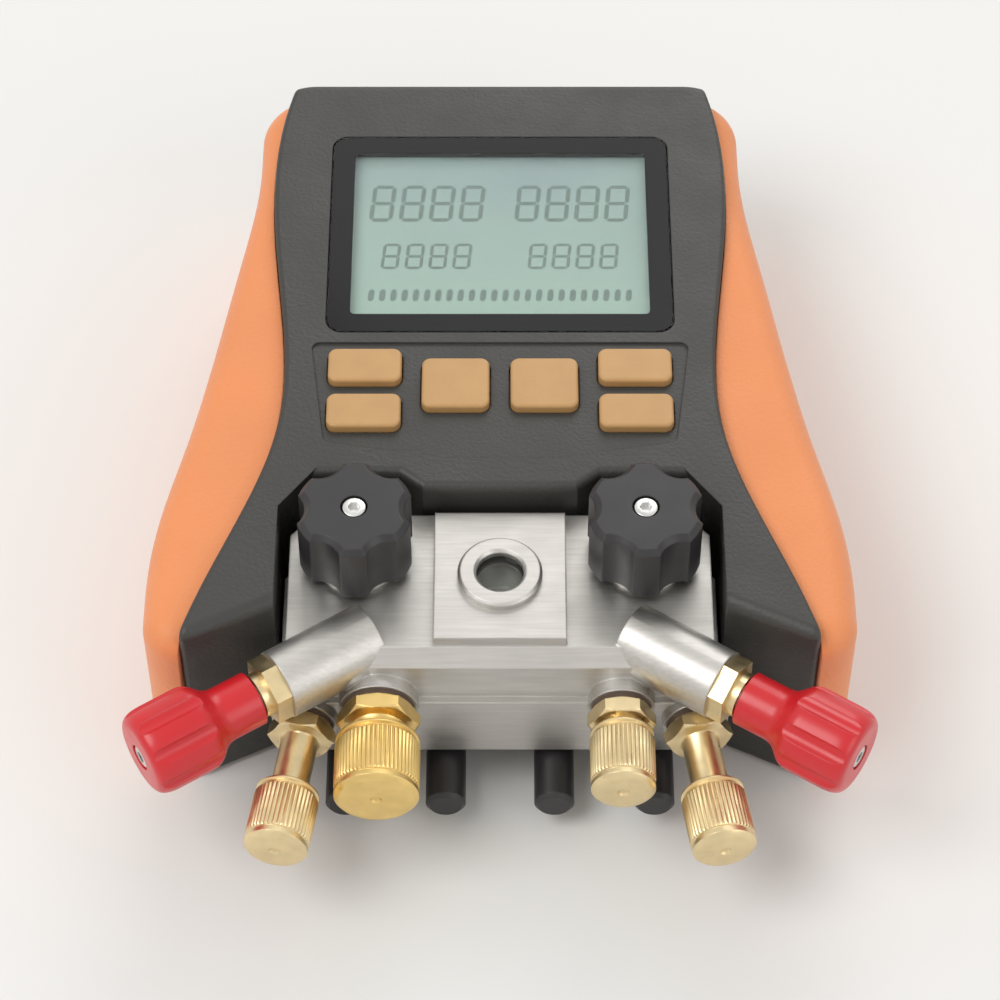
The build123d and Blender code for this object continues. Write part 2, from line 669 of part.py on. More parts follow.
def valve_stem(name):
    """Stem, piston and the cone that closes the seat."""
    low = -piston_depth
    stem = turned(
        (0, low - valve_tip),
        (seat_radius / 2, low - valve_tip),
        (seat_radius + valve_tip / 2, low),
        (piston_radius, low),
        (piston_radius, low + piston_length),
        (stem_radius, low + piston_length),
        (stem_radius, stem_high(name)),
        (0, stem_high(name)),
    )
    high = stem_high(name)
    stem -= disc(knob_screw_radius + running_gap, high - knob_screw_length, high + 1)
    return valve_seats[name] * stem


def knob_bores(name):
    """What every knob loses along its axis: the stem's bore, the screw's hole and its recess."""
    high = knob_high(name)
    bore = disc(stem_radius + running_gap, -1, stem_high(name))
    bore += disc(knob_screw_radius + running_gap, 0, high)
    return bore + disc(knob_screw_head_radius + recess_gap, high - knob_recess, high + 1)


def front_knob(name):
    """A lobed handwheel with a hollow skirt over the bonnet."""
    low, high = front_knob_clear, front_knob_high
    wheel = disc(front_knob_radius, low, high)
    for i in range(front_lobes):
        reach = front_knob_radius - lobe_depth + lobe_cutter_radius
        cutter = disc(lobe_cutter_radius, low - 1, high + 1)
        wheel -= Rot(0, 0, 360 / front_lobes * i) * Pos(reach, 0) * cutter
    wheel = chamfer(outline_edges(wheel, high), knob_edge)
    inner = front_knob_radius - lobe_depth - knob_wall
    wheel -= disc(inner, low - 1, low + knob_skirt)
    wheel += disc(knob_hub_radius, bonnet_high + hub_gap, low + knob_skirt)
    return valve_seats[name] * (wheel - knob_bores(name))


def side_knob(name):
    """A long knob: a sleeve that flares into a fluted grip with a domed end."""
    low, high = side_knob_low, side_knob_high
    sleeve_z = low + side_sleeve_length
    full_z = sleeve_z + side_flare
    dome_z = high - side_dome
    end_radius = side_knob_radius - side_dome / 2
    knob = revolved(
        Line((0, 0, low), (side_sleeve_radius, 0, low)),
        Line((side_sleeve_radius, 0, low), (side_sleeve_radius, 0, sleeve_z)),
        Spline(
            (side_sleeve_radius, 0, sleeve_z),
            (side_knob_radius, 0, full_z),
            tangents=[(0, 0, 1), (0, 0, 1)],
        ),
        Line((side_knob_radius, 0, full_z), (side_knob_radius, 0, dome_z)),
        Spline(
            (side_knob_radius, 0, dome_z),
            (end_radius, 0, high),
            tangents=[(0, 0, 1), (-1, 0, 0)],
        ),
        Line((end_radius, 0, high), (0, 0, high)),
        Line((0, 0, high), (0, 0, low)),
    )
    for i in range(side_flutes):
        reach = side_knob_radius - flute_depth + flute_cutter_radius
        cutter = disc(flute_cutter_radius, sleeve_z, high + 1)
        knob -= Rot(0, 0, 360 / side_flutes * i) * Pos(reach, 0) * cutter
    return valve_seats[name] * (knob - knob_bores(name))


def knob_screw(name):
    seat_z = knob_high(name) - knob_recess
    screw = disc(knob_screw_head_radius, seat_z, seat_z + knob_screw_head)
    screw += disc(knob_screw_radius, seat_z - knob_screw_length, seat_z)
    return valve_seats[name] * screw


# ---------------------------------------------------------------- ports
def port_seat(x, z, splay):
    """The frame of one port: on its boss face, with local Z out of the block and local Y up."""
    angle = radians(splay)
    way = Vector(sin(angle), -cos(angle), 0)
    origin = Vector(x, rail_low_y, z) + way * port_boss_out
    return Plane(origin=origin, x_dir=(cos(angle), sin(angle), 0), z_dir=way).location


quarter = (quarter_thread_radius, quarter_neck_radius, quarter_flats)
wide = (vacuum_thread_radius, vacuum_neck_radius, vacuum_flats)
quarter_turn = Rot(0, 0, 90)
ports = {
    "low": (port_seat(-outer_port_x, outer_port_z, -port_splay), side_port_length, *quarter),
    "vacuum": (port_seat(-inner_port_x, inner_port_z, 0) * quarter_turn, vacuum_port_length, *wide),
    "refrigerant": (port_seat(inner_port_x, inner_port_z, 0), refrigerant_port_length, *quarter),
    "high": (port_seat(outer_port_x, outer_port_z, port_splay), side_port_length, *quarter),
}


def port_fitting(name):
    """Stub in the block, hexagon, neck, thread and flare cone, on one bore."""
    seat, length, thread_radius, neck_radius, flats = ports[name]
    thread_high = length - flare_length
    thread_low = thread_high - thread_length
    body = turned(
        (0, -port_stub),
        (port_stub_radius, -port_stub),
        (port_stub_radius, port_seal),
        (neck_radius, port_seal),
        (neck_radius, thread_low),
        (thread_radius, thread_low + thread_radius - neck_radius),
        (thread_radius, thread_high),
        (thread_radius - flare_drop, thread_high),
        (port_bore_radius + (thread_radius - flare_drop - port_bore_radius) / 4, length),
        (0, length),
    )
    body += hexagon(flats, port_seal, hex_high)
    return seat * (body - disc(port_bore_radius, -port_stub - 1, length + 1))


def port_seals():
    seals = []
    for seat, _, _, _, flats in ports.values():
        seals.append(seat * ring(flats / 2, port_stub_radius + running_gap, 0, port_seal))
    return seals


def port_cap(name):
    """A knurled brass cap screwed over the flare."""
    seat, length, thread_radius, _, _ = ports[name]
    inner = thread_radius + cap_clearance
    outer = inner + cap_wall
    inner_high = length + cap_end_gap
    low, high = inner_high - cap_cover, inner_high + cap_end
    cap = disc(outer, low, high)
    cap = chamfer(outline_edges(cap, high) + outline_edges(cap, low), cap_edge)
    groove = Rot(0, 0, 45) * Box(knurl_depth * sqrt(2), knurl_depth * sqrt(2), 3 * cap_cover)
    for i in range(cap_knurls):
        cap -= Rot(0, 0, 360 / cap_knurls * i) * Pos(outer, 0, low) * groove
    return seat * (cap - disc(inner, low - 1, inner_high))


# ---------------------------------------------------------------- valve block
def block_plan(inset, top_y):
    """A rectangle between the block's ends with its two upper corners cut off."""
    x, low = block_x - inset, rail_low_y + inset
    right = [(x, low), (x, top_y - block_corner), (x - block_corner, top_y)]
    left = [(-px, py) for px, py in reversed(right)]
    return make_face(Polyline(*right, *left, close=True))


def block_body():
    """Rail, deck, pad and the bosses that carry valves and ports."""
    body = slab(block_plan(0, rail_top_y), rail_low_z, rail_high_z)
    deck = slab(block_plan(deck_inset, deck_top_y), rail_high_z, deck_z)
    front_edge = outline_edges(deck, deck_z).sort_by(Axis.Y)[0]
    body += chamfer(front_edge, deck_chamfer)
    body += box(-pad_x, pad_x, pad_low_y, pad_top_y, deck_z, deck_z + pad_height)
    for name, seat in valve_seats.items():
        if is_side(name):
            body += seat * disc(side_boss_radius, -side_boss_in - side_boss_out, 0)
        else:
            body += seat * disc(front_boss_radius, -front_boss_height, 0)
    for seat, _, _, _, flats in ports.values():
        body += seat * disc(flats / 2 + port_boss_rim, -port_stub, 0)
    return body


def chamber(name):
    """The point in a valve's bore, between its seat and its piston, where its port comes in."""
    depth = piston_depth + (valve_tip + bore_end_gap) / 2
    return (valve_seats[name] * Pos(0, 0, -depth)).position


def valve_holes():
    """Each valve's bore, the drilling from its port, and the one from its seat to the gallery."""
    holes = []
    for name, seat in valve_seats.items():
        holes.append(seat * disc(bore_radius, -bore_depth, 1))
        port = ports[name][0]
        holes.append(port * disc(port_stub_radius + running_gap, -port_stub, 1))
        holes.append(drilled((port * Pos(0, 0, -port_stub + 1)).position, chamber(name), drill_radius))
        bottom = (seat * Pos(0, 0, -bore_depth + 1)).position
        inset = seat_drill_inset if is_side(name) else 0
        gallery_x = bottom.X * (1 - inset / abs(bottom.X))
        holes.append(drilled(bottom, (gallery_x, gallery_y, gallery_z), seat_radius))
    return holes


def gallery_holes():
    """The gallery from end to end, with the two wider bores that the plugs close."""
    holes = [along_x(gallery_radius, -block_x - 1, block_x + 1, gallery_y, gallery_z)]
    for side in SIDES.values():
        x0, x1 = sorted((side * (block_x - plug_length), side * (block_x + 1)))
        holes.append(along_x(plug_radius + running_gap, x0, x1, gallery_y, gallery_z))
    return holes


def sensor_holes():
    """Each sensor's threaded bore and the tap from the port that it measures."""
    holes = []
    end_y = rail_top_y - sensor_thread
    for side, name in ((-1, "low"), (1, "high")):
        x = side * sensor_x
        holes.append(along_y(sensor_thread_radius + running_gap, end_y, rail_top_y + 1, x, sensor_z))
        tap = (x, end_y + 1, sensor_z - sensor_tap_drop)
        port_end = (ports[name][0] * Pos(0, -sensor_tap_drop, -port_stub + 1)).position
        holes.append(drilled(tap, port_end, drill_radius))
    return holes


def glass_holes():
    high = deck_z + pad_height
    seat_z = high - glass_thick - glass_seal
    holes = disc(glass_radius + running_gap, seat_z, high + 1)
    holes += disc(glass_window_radius, seat_z - glass_well, high)
    well = (0, glass_y, seat_z - glass_well + 1)
    return [Pos(0, glass_y) * holes, drilled(well, (0, gallery_y, gallery_z), seat_radius)]


def valve_block():
    body = block_body()
    body -= valve_holes()
    body -= gallery_holes()
    body -= sensor_holes()
    body -= glass_holes()
    for x, y in block_screw_places:
        tap = block_screw_radius + running_gap
        body -= Pos(x, y) * disc(tap, rail_low_z - 1, rail_low_z + block_bite + fit_gap)
    return body


def block_plugs():
    """Screw plugs that close the gallery, each with a hexagon socket."""
    plugs = []
    for side in SIDES.values():
        way = Vector(side, 0, 0)
        place = Plane(origin=(side * block_x, gallery_y, gallery_z), z_dir=way).location
        plug = disc(plug_radius, -plug_length, 0)
        plugs.append(place * (plug - hexagon(plug_key_flats, -plug_key_depth, 1)))
    return plugs


def glass_place():
    return Pos(0, glass_y, deck_z + pad_height)


def sight_glass():
    return glass_place() * disc(glass_radius, -glass_thick, 0)


def sight_glass_seal():
    low, high = -glass_thick - glass_seal, -glass_thick
    return glass_place() * ring(glass_radius, glass_window_radius, low, high)


def sight_glass_ring():
    bezel = ring(glass_ring_radius, glass_window_radius, 0, glass_ring_height)
    return glass_place() * chamfer(outline_edges(bezel, glass_ring_height), glass_ring_height / 3)


def pressure_sensors():
    sensors = []
    for side in SIDES.values():
        place = Plane(origin=(side * sensor_x, rail_top_y, sensor_z), x_dir=(1, 0, 0), z_dir=(0, 1, 0))
        sensor = disc(sensor_thread_radius, -sensor_thread, 0)
        sensor += hexagon(sensor_flats, 0, sensor_hex)
        sensor += disc(sensor_radius, sensor_hex, sensor_length)
        sensors.append(place.location * sensor)
    return sensors


def hose_parking():
    """A bar on the back plate with the plain posts on which unused hose ends are hung."""
    high_y = leg_root_y + park_bar_depth
    bar = box(-park_bar_x, park_bar_x, leg_root_y, high_y, back_plate, park_bar_high_z)
    for x in (-park_outer_x, -park_inner_x, park_inner_x, park_outer_x):
        place = Plane(origin=(x, leg_root_y, park_post_z), x_dir=(1, 0, 0), z_dir=(0, -1, 0))
        post = disc(park_post_radius, -1, park_post_length)
        bar += place.location * chamfer(outline_edges(post, park_post_length), park_post_edge)
    return bar


# ---------------------------------------------------------------- probe sockets and covers
def socket_place(x):
    """On the outer face of the top wall, with local Z out of it."""
    return Plane(origin=(x, body_top, socket_z), x_dir=(1, 0, 0), z_dir=(0, 1, 0)).location


def probe_sockets():
    """Round sockets pushed in from behind, each with a ring of contact pins."""
    sockets = []
    for side in SIDES.values():
        socket = disc(socket_radius, -wall - socket_depth, 0)
        socket += disc(socket_flange_radius, -wall - socket_flange, -wall)
        socket -= disc(socket_cup_radius, -socket_cup_depth, 1)
        for i in range(socket_pins):
            pin = disc(socket_pin_radius, -socket_cup_depth, -socket_cup_depth + socket_pin_height)
            socket += Rot(0, 0, 360 / socket_pins * (i + 0.5)) * Pos(socket_pin_circle, 0) * pin
        sockets.append(socket_place(side * socket_x) * socket)
    return sockets


def socket_cover(side):
    """A disc with a short plug, an arm and the barrel and pins that it turns on."""
    x = side * socket_x
    cover = disc(cover_radius, cover_gap, cover_gap + cover_thick)
    cover += disc(socket_cup_radius - cover_plug_gap, cover_gap - cover_plug, cover_gap)
    cover = socket_place(x) * cover
    high_y = cover_low_y + cover_thick
    arm_high_z = socket_z - cover_radius + cover_thick
    cover += box(x - cover_x, x + cover_x, cover_low_y, high_y, cover_pivot_z, arm_high_z)
    cover += along_x(cover_barrel_radius, x - cover_x, x + cover_x, cover_pivot_y, cover_pivot_z)
    reach = cover_x + cover_gap + cover_ear
    return cover + along_x(cover_pin_radius, x - reach, x + reach, cover_pivot_y, cover_pivot_z)


# ---------------------------------------------------------------- fasteners
def screws(places, radius, seat_z, high_z, head_radius, head):
    """Screws from the back: the head under seat_z and the shank up to high_z."""
    screw = disc(radius, seat_z, high_z) + disc(head_radius, seat_z - head, seat_z)
    return [Pos(x, y) * screw for x, y in places]


def housing_screws():
    high = split_z + housing_bite
    return screws(
        housing_screw_places, housing_screw_radius, housing_sink, high, housing_head_radius, housing_head
    )


def block_screws():
    high = rail_low_z + block_bite
    return screws(block_screw_places, block_screw_radius, block_sink, high, block_head_radius, block_head)


# ---------------------------------------------------------------- assembly
nodes = {
    "front_housing": front_housing(),
    "rear_housing": rear_housing(),
    "housing_seal": housing_seal(),
    "side_grip_left": side_grip(-1),
    "side_grip_right": side_grip(1),
    "display_lens": display_lens(),
    "lcd_panel": lcd_panel(),
    "backlight": backlight(),
    "circuit_board": circuit_board(),
    "board_screws": board_screws(),
    "key_mat": key_mat(),
    "batteries": batteries(),
    "battery_contacts": battery_contacts(),
    "battery_door": battery_door(),
    "hook": hook(),
    "hook_pin": hook_pin(),
    "valve_block": valve_block(),
    "block_plugs": block_plugs(),
    "sight_glass": sight_glass(),
    "sight_glass_seal": sight_glass_seal(),
    "sight_glass_ring": sight_glass_ring(),
    "valve_bonnets": valve_bonnets(),
    "port_seals": port_seals(),
    "pressure_sensors": pressure_sensors(),
    "hose_parking": hose_parking(),
    "probe_sockets": probe_sockets(),
    "socket_cover_left": socket_cover(-1),
    "socket_cover_right": socket_cover(1),
    "housing_screws": housing_screws(),
    "block_screws": block_screws(),
}
for name, place in key_places.items():
    nodes[name] = key(*place)
for name in valve_seats:
    nodes[name + "_valve_stem"] = valve_stem(name)
    nodes[name + "_valve_knob"] = side_knob(name) if is_side(name) else front_knob(name)
    nodes[name + "_knob_screw"] = knob_screw(name)
    nodes[name + "_port"] = port_fitting(name)
    nodes[name + "_port_cap"] = port_cap(name)

# The footprint runs from the outer ports' caps to the ears of the socket covers.
cap_reach = side_port_length + cap_end_gap + cap_end
cap_rim = quarter_thread_radius + cap_clearance + cap_wall - cap_edge
splay = radians(port_splay)
footprint_low_y = rail_low_y - (port_boss_out + cap_reach) * cos(splay) - cap_rim * sin(splay)
y_shift = -(ear_high_y + footprint_low_y) / 2


def placed(shape):
    """The shape as one compound, moved so that the origin is the centre of the footprint."""
    parts = shape if isinstance(shape, list) else [shape]
    solids = [solid for part in parts for solid in part.solids()]
    moved = [Pos(0, y_shift, 0) * solid for solid in solids]
    return moved[0] if len(moved) == 1 else Compound(children=moved)


os.makedirs("parts", exist_ok=True)
for name, shape in nodes.items():
    export_step(placed(shape), f"parts/{name}.step")
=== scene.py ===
import json
from collections import namedtuple
from math import cos, pi, radians, sin, sqrt, tan, tau

import bmesh
import bpy
from mathutils import Matrix, Vector

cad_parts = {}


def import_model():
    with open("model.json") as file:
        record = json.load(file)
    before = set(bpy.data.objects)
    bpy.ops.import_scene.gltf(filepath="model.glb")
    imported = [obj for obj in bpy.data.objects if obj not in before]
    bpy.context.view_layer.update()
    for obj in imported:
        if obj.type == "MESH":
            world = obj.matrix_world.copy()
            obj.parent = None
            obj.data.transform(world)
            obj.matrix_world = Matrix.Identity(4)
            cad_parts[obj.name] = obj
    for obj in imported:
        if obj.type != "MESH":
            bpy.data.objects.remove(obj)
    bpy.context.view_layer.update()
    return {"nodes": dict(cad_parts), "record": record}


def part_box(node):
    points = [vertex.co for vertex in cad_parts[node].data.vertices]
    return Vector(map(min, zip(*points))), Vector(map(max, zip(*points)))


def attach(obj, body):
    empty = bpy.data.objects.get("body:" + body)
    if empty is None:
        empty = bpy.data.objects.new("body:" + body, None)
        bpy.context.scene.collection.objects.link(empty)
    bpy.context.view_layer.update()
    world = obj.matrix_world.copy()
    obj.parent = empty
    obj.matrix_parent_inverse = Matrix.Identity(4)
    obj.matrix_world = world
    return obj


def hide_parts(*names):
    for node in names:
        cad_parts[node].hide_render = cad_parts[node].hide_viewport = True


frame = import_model()
MM = 0.001
FAR = 1e9  # a radius that limits nothing, in mm
WHITE = (1.0, 1.0, 1.0, 1.0)
SHARP_ANGLE = 32  # degrees between two faces, from which their edge is shaded sharp


# ---------------------------------------------------------------- materials
BEVEL_SAMPLES = 4
# The product of the bevelled normal and the face's own, where wear is full and where it ends
CORNER_DOT, FLAT_DOT = 0.80, 0.97


def srgb(red, green, blue):
    """A colour given as 0 to 255 on screen, in Blender's linear values."""
    def linear(value):
        value /= 255
        return value / 12.92 if value <= 0.04045 else ((value + 0.055) / 1.055) ** 2.4
    return (linear(red), linear(green), linear(blue), 1.0)


def darker(colour, share):
    return (*[value * share for value in colour[:3]], 1.0)


class Finish:
    """One material: a Principled shader and the nodes that feed it."""

    def __init__(self, name, colour, roughness, metallic=0.0):
        self.material = bpy.data.materials.new(name)
        self.material.use_nodes = True
        self.nodes = self.material.node_tree.nodes
        self.links = self.material.node_tree.links
        self.shader = self.nodes["Principled BSDF"]
        self.set(Base_Color=colour, Roughness=roughness, Metallic=metallic)
        self.colour = colour
        self.roughness = roughness
        self.place = self.add("ShaderNodeTexCoord").outputs["Object"]
        self.colour_out = None
        self.normal_out = None

    def set(self, **values):
        for name, value in values.items():
            self.shader.inputs[name.replace("_", " ")].default_value = value
        return self

    def add(self, kind, **settings):
        node = self.nodes.new(kind)
        for name, value in settings.items():
            setattr(node, name, value)
        return node

    def join(self, out, socket):
        self.links.new(out, socket)

    def noise(self, size_mm, detail=2.0, stretch=(1, 1, 1)):
        """Noise with features about size_mm across."""
        mapping = self.add("ShaderNodeMapping")
        mapping.inputs["Scale"].default_value = stretch
        self.join(self.place, mapping.inputs["Vector"])
        noise = self.add("ShaderNodeTexNoise")
        noise.inputs["Scale"].default_value = 1 / (size_mm * MM)
        noise.inputs["Detail"].default_value = detail
        self.join(mapping.outputs["Vector"], noise.inputs["Vector"])
        return noise.outputs["Fac"]

    def spread(self, value, low, high, from_low=0.3, from_high=0.7):
        """A value moved from its own range to the range low to high, and kept inside it.

        Noise mostly lies between 0.3 and 0.7.
        """
        span = self.add("ShaderNodeMapRange")
        for name, number in (
            ("From Min", from_low), ("From Max", from_high), ("To Min", low), ("To Max", high),
        ):
            span.inputs[name].default_value = number
        self.join(value, span.inputs["Value"])
        return span.outputs["Result"]

    def along(self, axis, low, high):
        """A value that runs from 0 to 1 between two places, in metres, on an axis."""
        parts = self.add("ShaderNodeSeparateXYZ")
        self.join(self.place, parts.inputs["Vector"])
        return self.spread(parts.outputs[axis], 0, 1, low, high)

    def blend_colour(self, share, other):
        """Mixes another colour over what the base colour is so far."""
        mix = self.add("ShaderNodeMix", data_type="RGBA")
        mix.inputs[6].default_value = self.colour
        mix.inputs[7].default_value = other
        if self.colour_out is not None:
            self.join(self.colour_out, mix.inputs[6])
        self.join(share, mix.inputs["Factor"])
        self.colour_out = mix.outputs[2]
        self.join(self.colour_out, self.shader.inputs["Base Color"])
        return self

    def mottle(self, size_mm, share=0.85, amount=0.6):
        """Soft patches that are a little darker."""
        patches = self.spread(self.noise(size_mm), 0, amount)
        return self.blend_colour(patches, darker(self.colour, share))

    def uneven_gloss(self, size_mm, swing):
        """Roughness that swings to both sides of its own value."""
        low, high = self.roughness - swing, self.roughness + swing
        value = self.spread(self.noise(size_mm, detail=3.0), low, high)
        self.join(value, self.shader.inputs["Roughness"])
        return self

    def bump(self, size_mm, depth_mm, strength=1.0, detail=2.0, stretch=(1, 1, 1)):
        """A fine relief, on top of any bump or soft edges that are there already."""
        node = self.add("ShaderNodeBump")
        node.inputs["Strength"].default_value = strength
        node.inputs["Distance"].default_value = depth_mm * MM
        self.join(self.noise(size_mm, detail, stretch), node.inputs["Height"])
        if self.normal_out is not None:
            self.join(self.normal_out, node.inputs["Normal"])
        self.normal_out = node.outputs["Normal"]
        self.join(self.normal_out, self.shader.inputs["Normal"])
        return self

    def soft_edges(self, radius_mm):
        """Lets light catch sharp edges as if they were rounded."""
        node = self.add("ShaderNodeBevel", samples=BEVEL_SAMPLES)
        node.inputs["Radius"].default_value = radius_mm * MM
        self.normal_out = node.outputs["Normal"]
        self.join(self.normal_out, self.shader.inputs["Normal"])
        return self

    def edge_wear(self, radius_mm, colour, amount):
        """Another colour, in broken patches, where the surface turns a sharp corner."""
        bevel = self.add("ShaderNodeBevel", samples=BEVEL_SAMPLES)
        bevel.inputs["Radius"].default_value = radius_mm * MM
        geometry = self.add("ShaderNodeNewGeometry")
        dot = self.add("ShaderNodeVectorMath", operation="DOT_PRODUCT")
        self.join(bevel.outputs["Normal"], dot.inputs[0])
        self.join(geometry.outputs["Normal"], dot.inputs[1])
        turn = self.spread(dot.outputs["Value"], amount, 0.0, CORNER_DOT, FLAT_DOT)
        worn = self.add("ShaderNodeMath", operation="MULTIPLY")
        self.join(turn, worn.inputs[0])
        broken = self.spread(self.noise(1.6, detail=4.0), 0.2, 1.0, from_low=0.4, from_high=0.6)
        self.join(broken, worn.inputs[1])
        return self.blend_colour(worn.outputs["Value"], colour)


def core_plastic():
    """Dark moulded housing with a fine grain."""
    finish = Finish("core_plastic", srgb(56, 55, 52), roughness=0.47)
    finish.mottle(22, share=0.86, amount=0.5).soft_edges(0.5)
    finish.bump(0.9, depth_mm=0.11, strength=0.9, detail=1.0)
    return finish.uneven_gloss(14, swing=0.05).material


def grip_rubber():
    """Soft orange rubber, a little lighter where it turns away."""
    finish = Finish("grip_rubber", srgb(236, 146, 90), roughness=0.56)
    finish.mottle(30, share=0.88, amount=0.5).soft_edges(0.6)
    finish.bump(1.0, depth_mm=0.16, detail=1.0)
    finish.set(Sheen_Weight=0.15, Sheen_Roughness=0.5)
    return finish.uneven_gloss(18, swing=0.06).material


def window_plastic():
    """Clear plastic with a low IOR, so that it doesn't hide the display behind it."""
    finish = Finish("clear_window", (0.96, 0.98, 0.97, 1.0), roughness=0.04)
    finish.set(Transmission_Weight=1.0, IOR=1.20)
    return finish.bump(60, depth_mm=0.01, strength=0.1, detail=0.0).material


def lcd_glass():
    """Grey-green, with painted shade: darker and bluer towards the top of the display."""
    finish = Finish("lcd_glass", srgb(170, 194, 181), roughness=0.34)
    # painted shade: the display is mixed darker and bluer towards its top, and left paler at the
    # bottom
    finish.blend_colour(finish.along("Y", 0.02, 0.08), srgb(150, 167, 170))
    return finish.set(IOR=1.2).mottle(26, share=0.95, amount=0.5).material


def lcd_segments():
    """Unlit segments: a shade darker than the glass around them."""
    finish = Finish("lcd_segments", srgb(120, 138, 132), roughness=0.4)
    return finish.set(IOR=1.2).mottle(26, share=0.95, amount=0.5).material


def black_print():
    """The glossy black frame of the window."""
    finish = Finish("black_print", srgb(26, 26, 27), roughness=0.12)
    finish.set(IOR=1.22).mottle(12, share=0.9, amount=0.4)
    return finish.bump(60, depth_mm=0.01, strength=0.1, detail=0.0).material


def key_rubber():
    finish = Finish("key_rubber", srgb(196, 152, 98), roughness=0.42)
    finish.mottle(7, share=0.88, amount=0.6).soft_edges(0.5)
    return finish.bump(0.7, depth_mm=0.04, strength=0.7, detail=1.0).material


def block_metal():
    """Milled aluminium: fine lines along X and lightly broken edges."""
    lines = (0.05, 1, 1)
    finish = Finish("block_metal", (0.60, 0.58, 0.55, 1.0), roughness=0.44, metallic=1.0)
    finish.mottle(16, share=0.9, amount=0.5).soft_edges(0.5)
    streaks = finish.spread(finish.noise(0.7, detail=3.0, stretch=lines), 0, 0.5)
    finish.blend_colour(streaks, (0.44, 0.43, 0.41, 1.0))
    finish.bump(0.6, depth_mm=0.025, strength=0.9, detail=3.0, stretch=lines)
    finish.bump(0.6, depth_mm=0.01, strength=0.4)
    return finish.uneven_gloss(9, swing=0.06).material


def brass(name, colour):
    finish = Finish(name, colour, roughness=0.35, metallic=1.0)
    finish.mottle(5, share=0.80, amount=0.7).soft_edges(0.15)
    return finish.bump(0.3, depth_mm=0.008, strength=0.5).uneven_gloss(3, swing=0.08).material


def steel(name, level, roughness=0.34):
    finish = Finish(name, (level, level, level * 0.98, 1.0), roughness, metallic=1.0)
    finish.mottle(4, share=0.85, amount=0.6).soft_edges(0.2)
    return finish.bump(0.4, depth_mm=0.004, strength=0.4).uneven_gloss(3, swing=0.07).material


def red_plastic():
    finish = Finish("red_plastic", srgb(208, 30, 38), roughness=0.34)
    finish.mottle(14, share=0.86, amount=0.5).soft_edges(0.5)
    finish.bump(0.5, depth_mm=0.02, strength=0.5).set(Coat_Weight=0.2, Coat_Roughness=0.2)
    return finish.uneven_gloss(9, swing=0.06).material


def black_plastic():
    """Black plastic that has turned grey on its corners."""
    finish = Finish("black_plastic", srgb(44, 42, 44), roughness=0.4)
    finish.mottle(14, share=0.8, amount=0.5)
    finish.edge_wear(0.6, srgb(78, 76, 76), amount=0.4).soft_edges(0.5)
    return finish.bump(0.5, depth_mm=0.03, strength=0.5).uneven_gloss(9, swing=0.06).material


def dark_rubber():
    finish = Finish("dark_rubber", srgb(34, 33, 33), roughness=0.62)
    finish.mottle(6, share=0.8, amount=0.6).soft_edges(0.3)
    return finish.bump(0.5, depth_mm=0.03, strength=0.5).material


def fibre():
    finish = Finish("fibre_washer", srgb(88, 70, 58), roughness=0.7)
    return finish.mottle(2, share=0.7, amount=0.8).bump(0.4, depth_mm=0.05, strength=0.6).material


def sight_glass_material():
    finish = Finish("sight_glass", (0.92, 0.97, 0.94, 1.0), roughness=0.03)
    finish.set(Transmission_Weight=1.0, IOR=1.45)
    return finish.bump(5, depth_mm=0.02, strength=0.2).material


def board_lacquer():
    finish = Finish("board_lacquer", srgb(26, 84, 48), roughness=0.35)
    return finish.mottle(5, share=0.7, amount=0.8).bump(1.2, depth_mm=0.03, strength=0.5).material


def cell_sleeve():
    finish = Finish("cell_sleeve", srgb(74, 92, 88), roughness=0.3)
    return finish.mottle(9, share=0.85, amount=0.6).bump(2.0, depth_mm=0.02, strength=0.3).material


def diffuser():
    finish = Finish("diffuser", srgb(214, 216, 212), roughness=0.45)
    return finish.mottle(9, share=0.93, amount=0.6).bump(1.5, depth_mm=0.02, strength=0.3).material


def dress(material, *names):
    """Gives CAD nodes their finish."""
    for name in names:
        for slot in frame["nodes"][name].material_slots:
            slot.material = material


VALVES = ("low", "high", "vacuum", "refrigerant")
SIDE_VALVES = ("low", "high")  # the two with red knobs

core = core_plastic()
grip = grip_rubber()
bright_steel = steel("bright_steel", 0.72)
dark_steel = steel("dark_steel", 0.28, roughness=0.38)
brass_plain = brass("brass_plain", (0.84, 0.68, 0.40, 1.0))
brass_golden = brass("brass_golden", (0.86, 0.62, 0.24, 1.0))
metal = block_metal()
rubber = dark_rubber()
black = black_plastic()
red = red_plastic()
washer = fibre()
keys = key_rubber()
window = window_plastic()
lcd_ink = lcd_segments()
border_print = black_print()
sleeve_film = cell_sleeve()


def port_brass(name):
    """The brass of a port and its cap, and its slot in the record."""
    return (brass_golden, "vacuum_brass") if name == "vacuum" else (brass_plain, "brass")


dress(core, "front_housing", "rear_housing", "battery_door")
dress(grip, "side_grip_left", "side_grip_right")
dress(window, "display_lens")
dress(lcd_glass(), "lcd_panel")
dress(diffuser(), "backlight", "key_mat")
dress(board_lacquer(), "circuit_board")
dress(keys, *[name for name in frame["nodes"] if name.startswith("key_") and name != "key_mat"])
dress(metal, "valve_block", "sight_glass_ring")
dress(sight_glass_material(), "sight_glass")
dress(washer, "sight_glass_seal", "port_seals")
dress(bright_steel, "hook", "hook_pin", "pressure_sensors", "battery_contacts")
dress(dark_steel, "housing_screws", "block_screws", "board_screws")
dress(sleeve_film, "batteries")
dress(rubber, "housing_seal", "socket_cover_left", "socket_cover_right")
dress(black, "hose_parking", "probe_sockets")
dress(brass_plain, "valve_bonnets", "block_plugs")
for valve in VALVES:
    dress(bright_steel, valve + "_valve_stem")
    dress(dark_steel, valve + "_knob_screw")
    dress(red if valve in SIDE_VALVES else black, valve + "_valve_knob")
    dress(port_brass(valve)[0], valve + "_port", valve + "_port_cap")


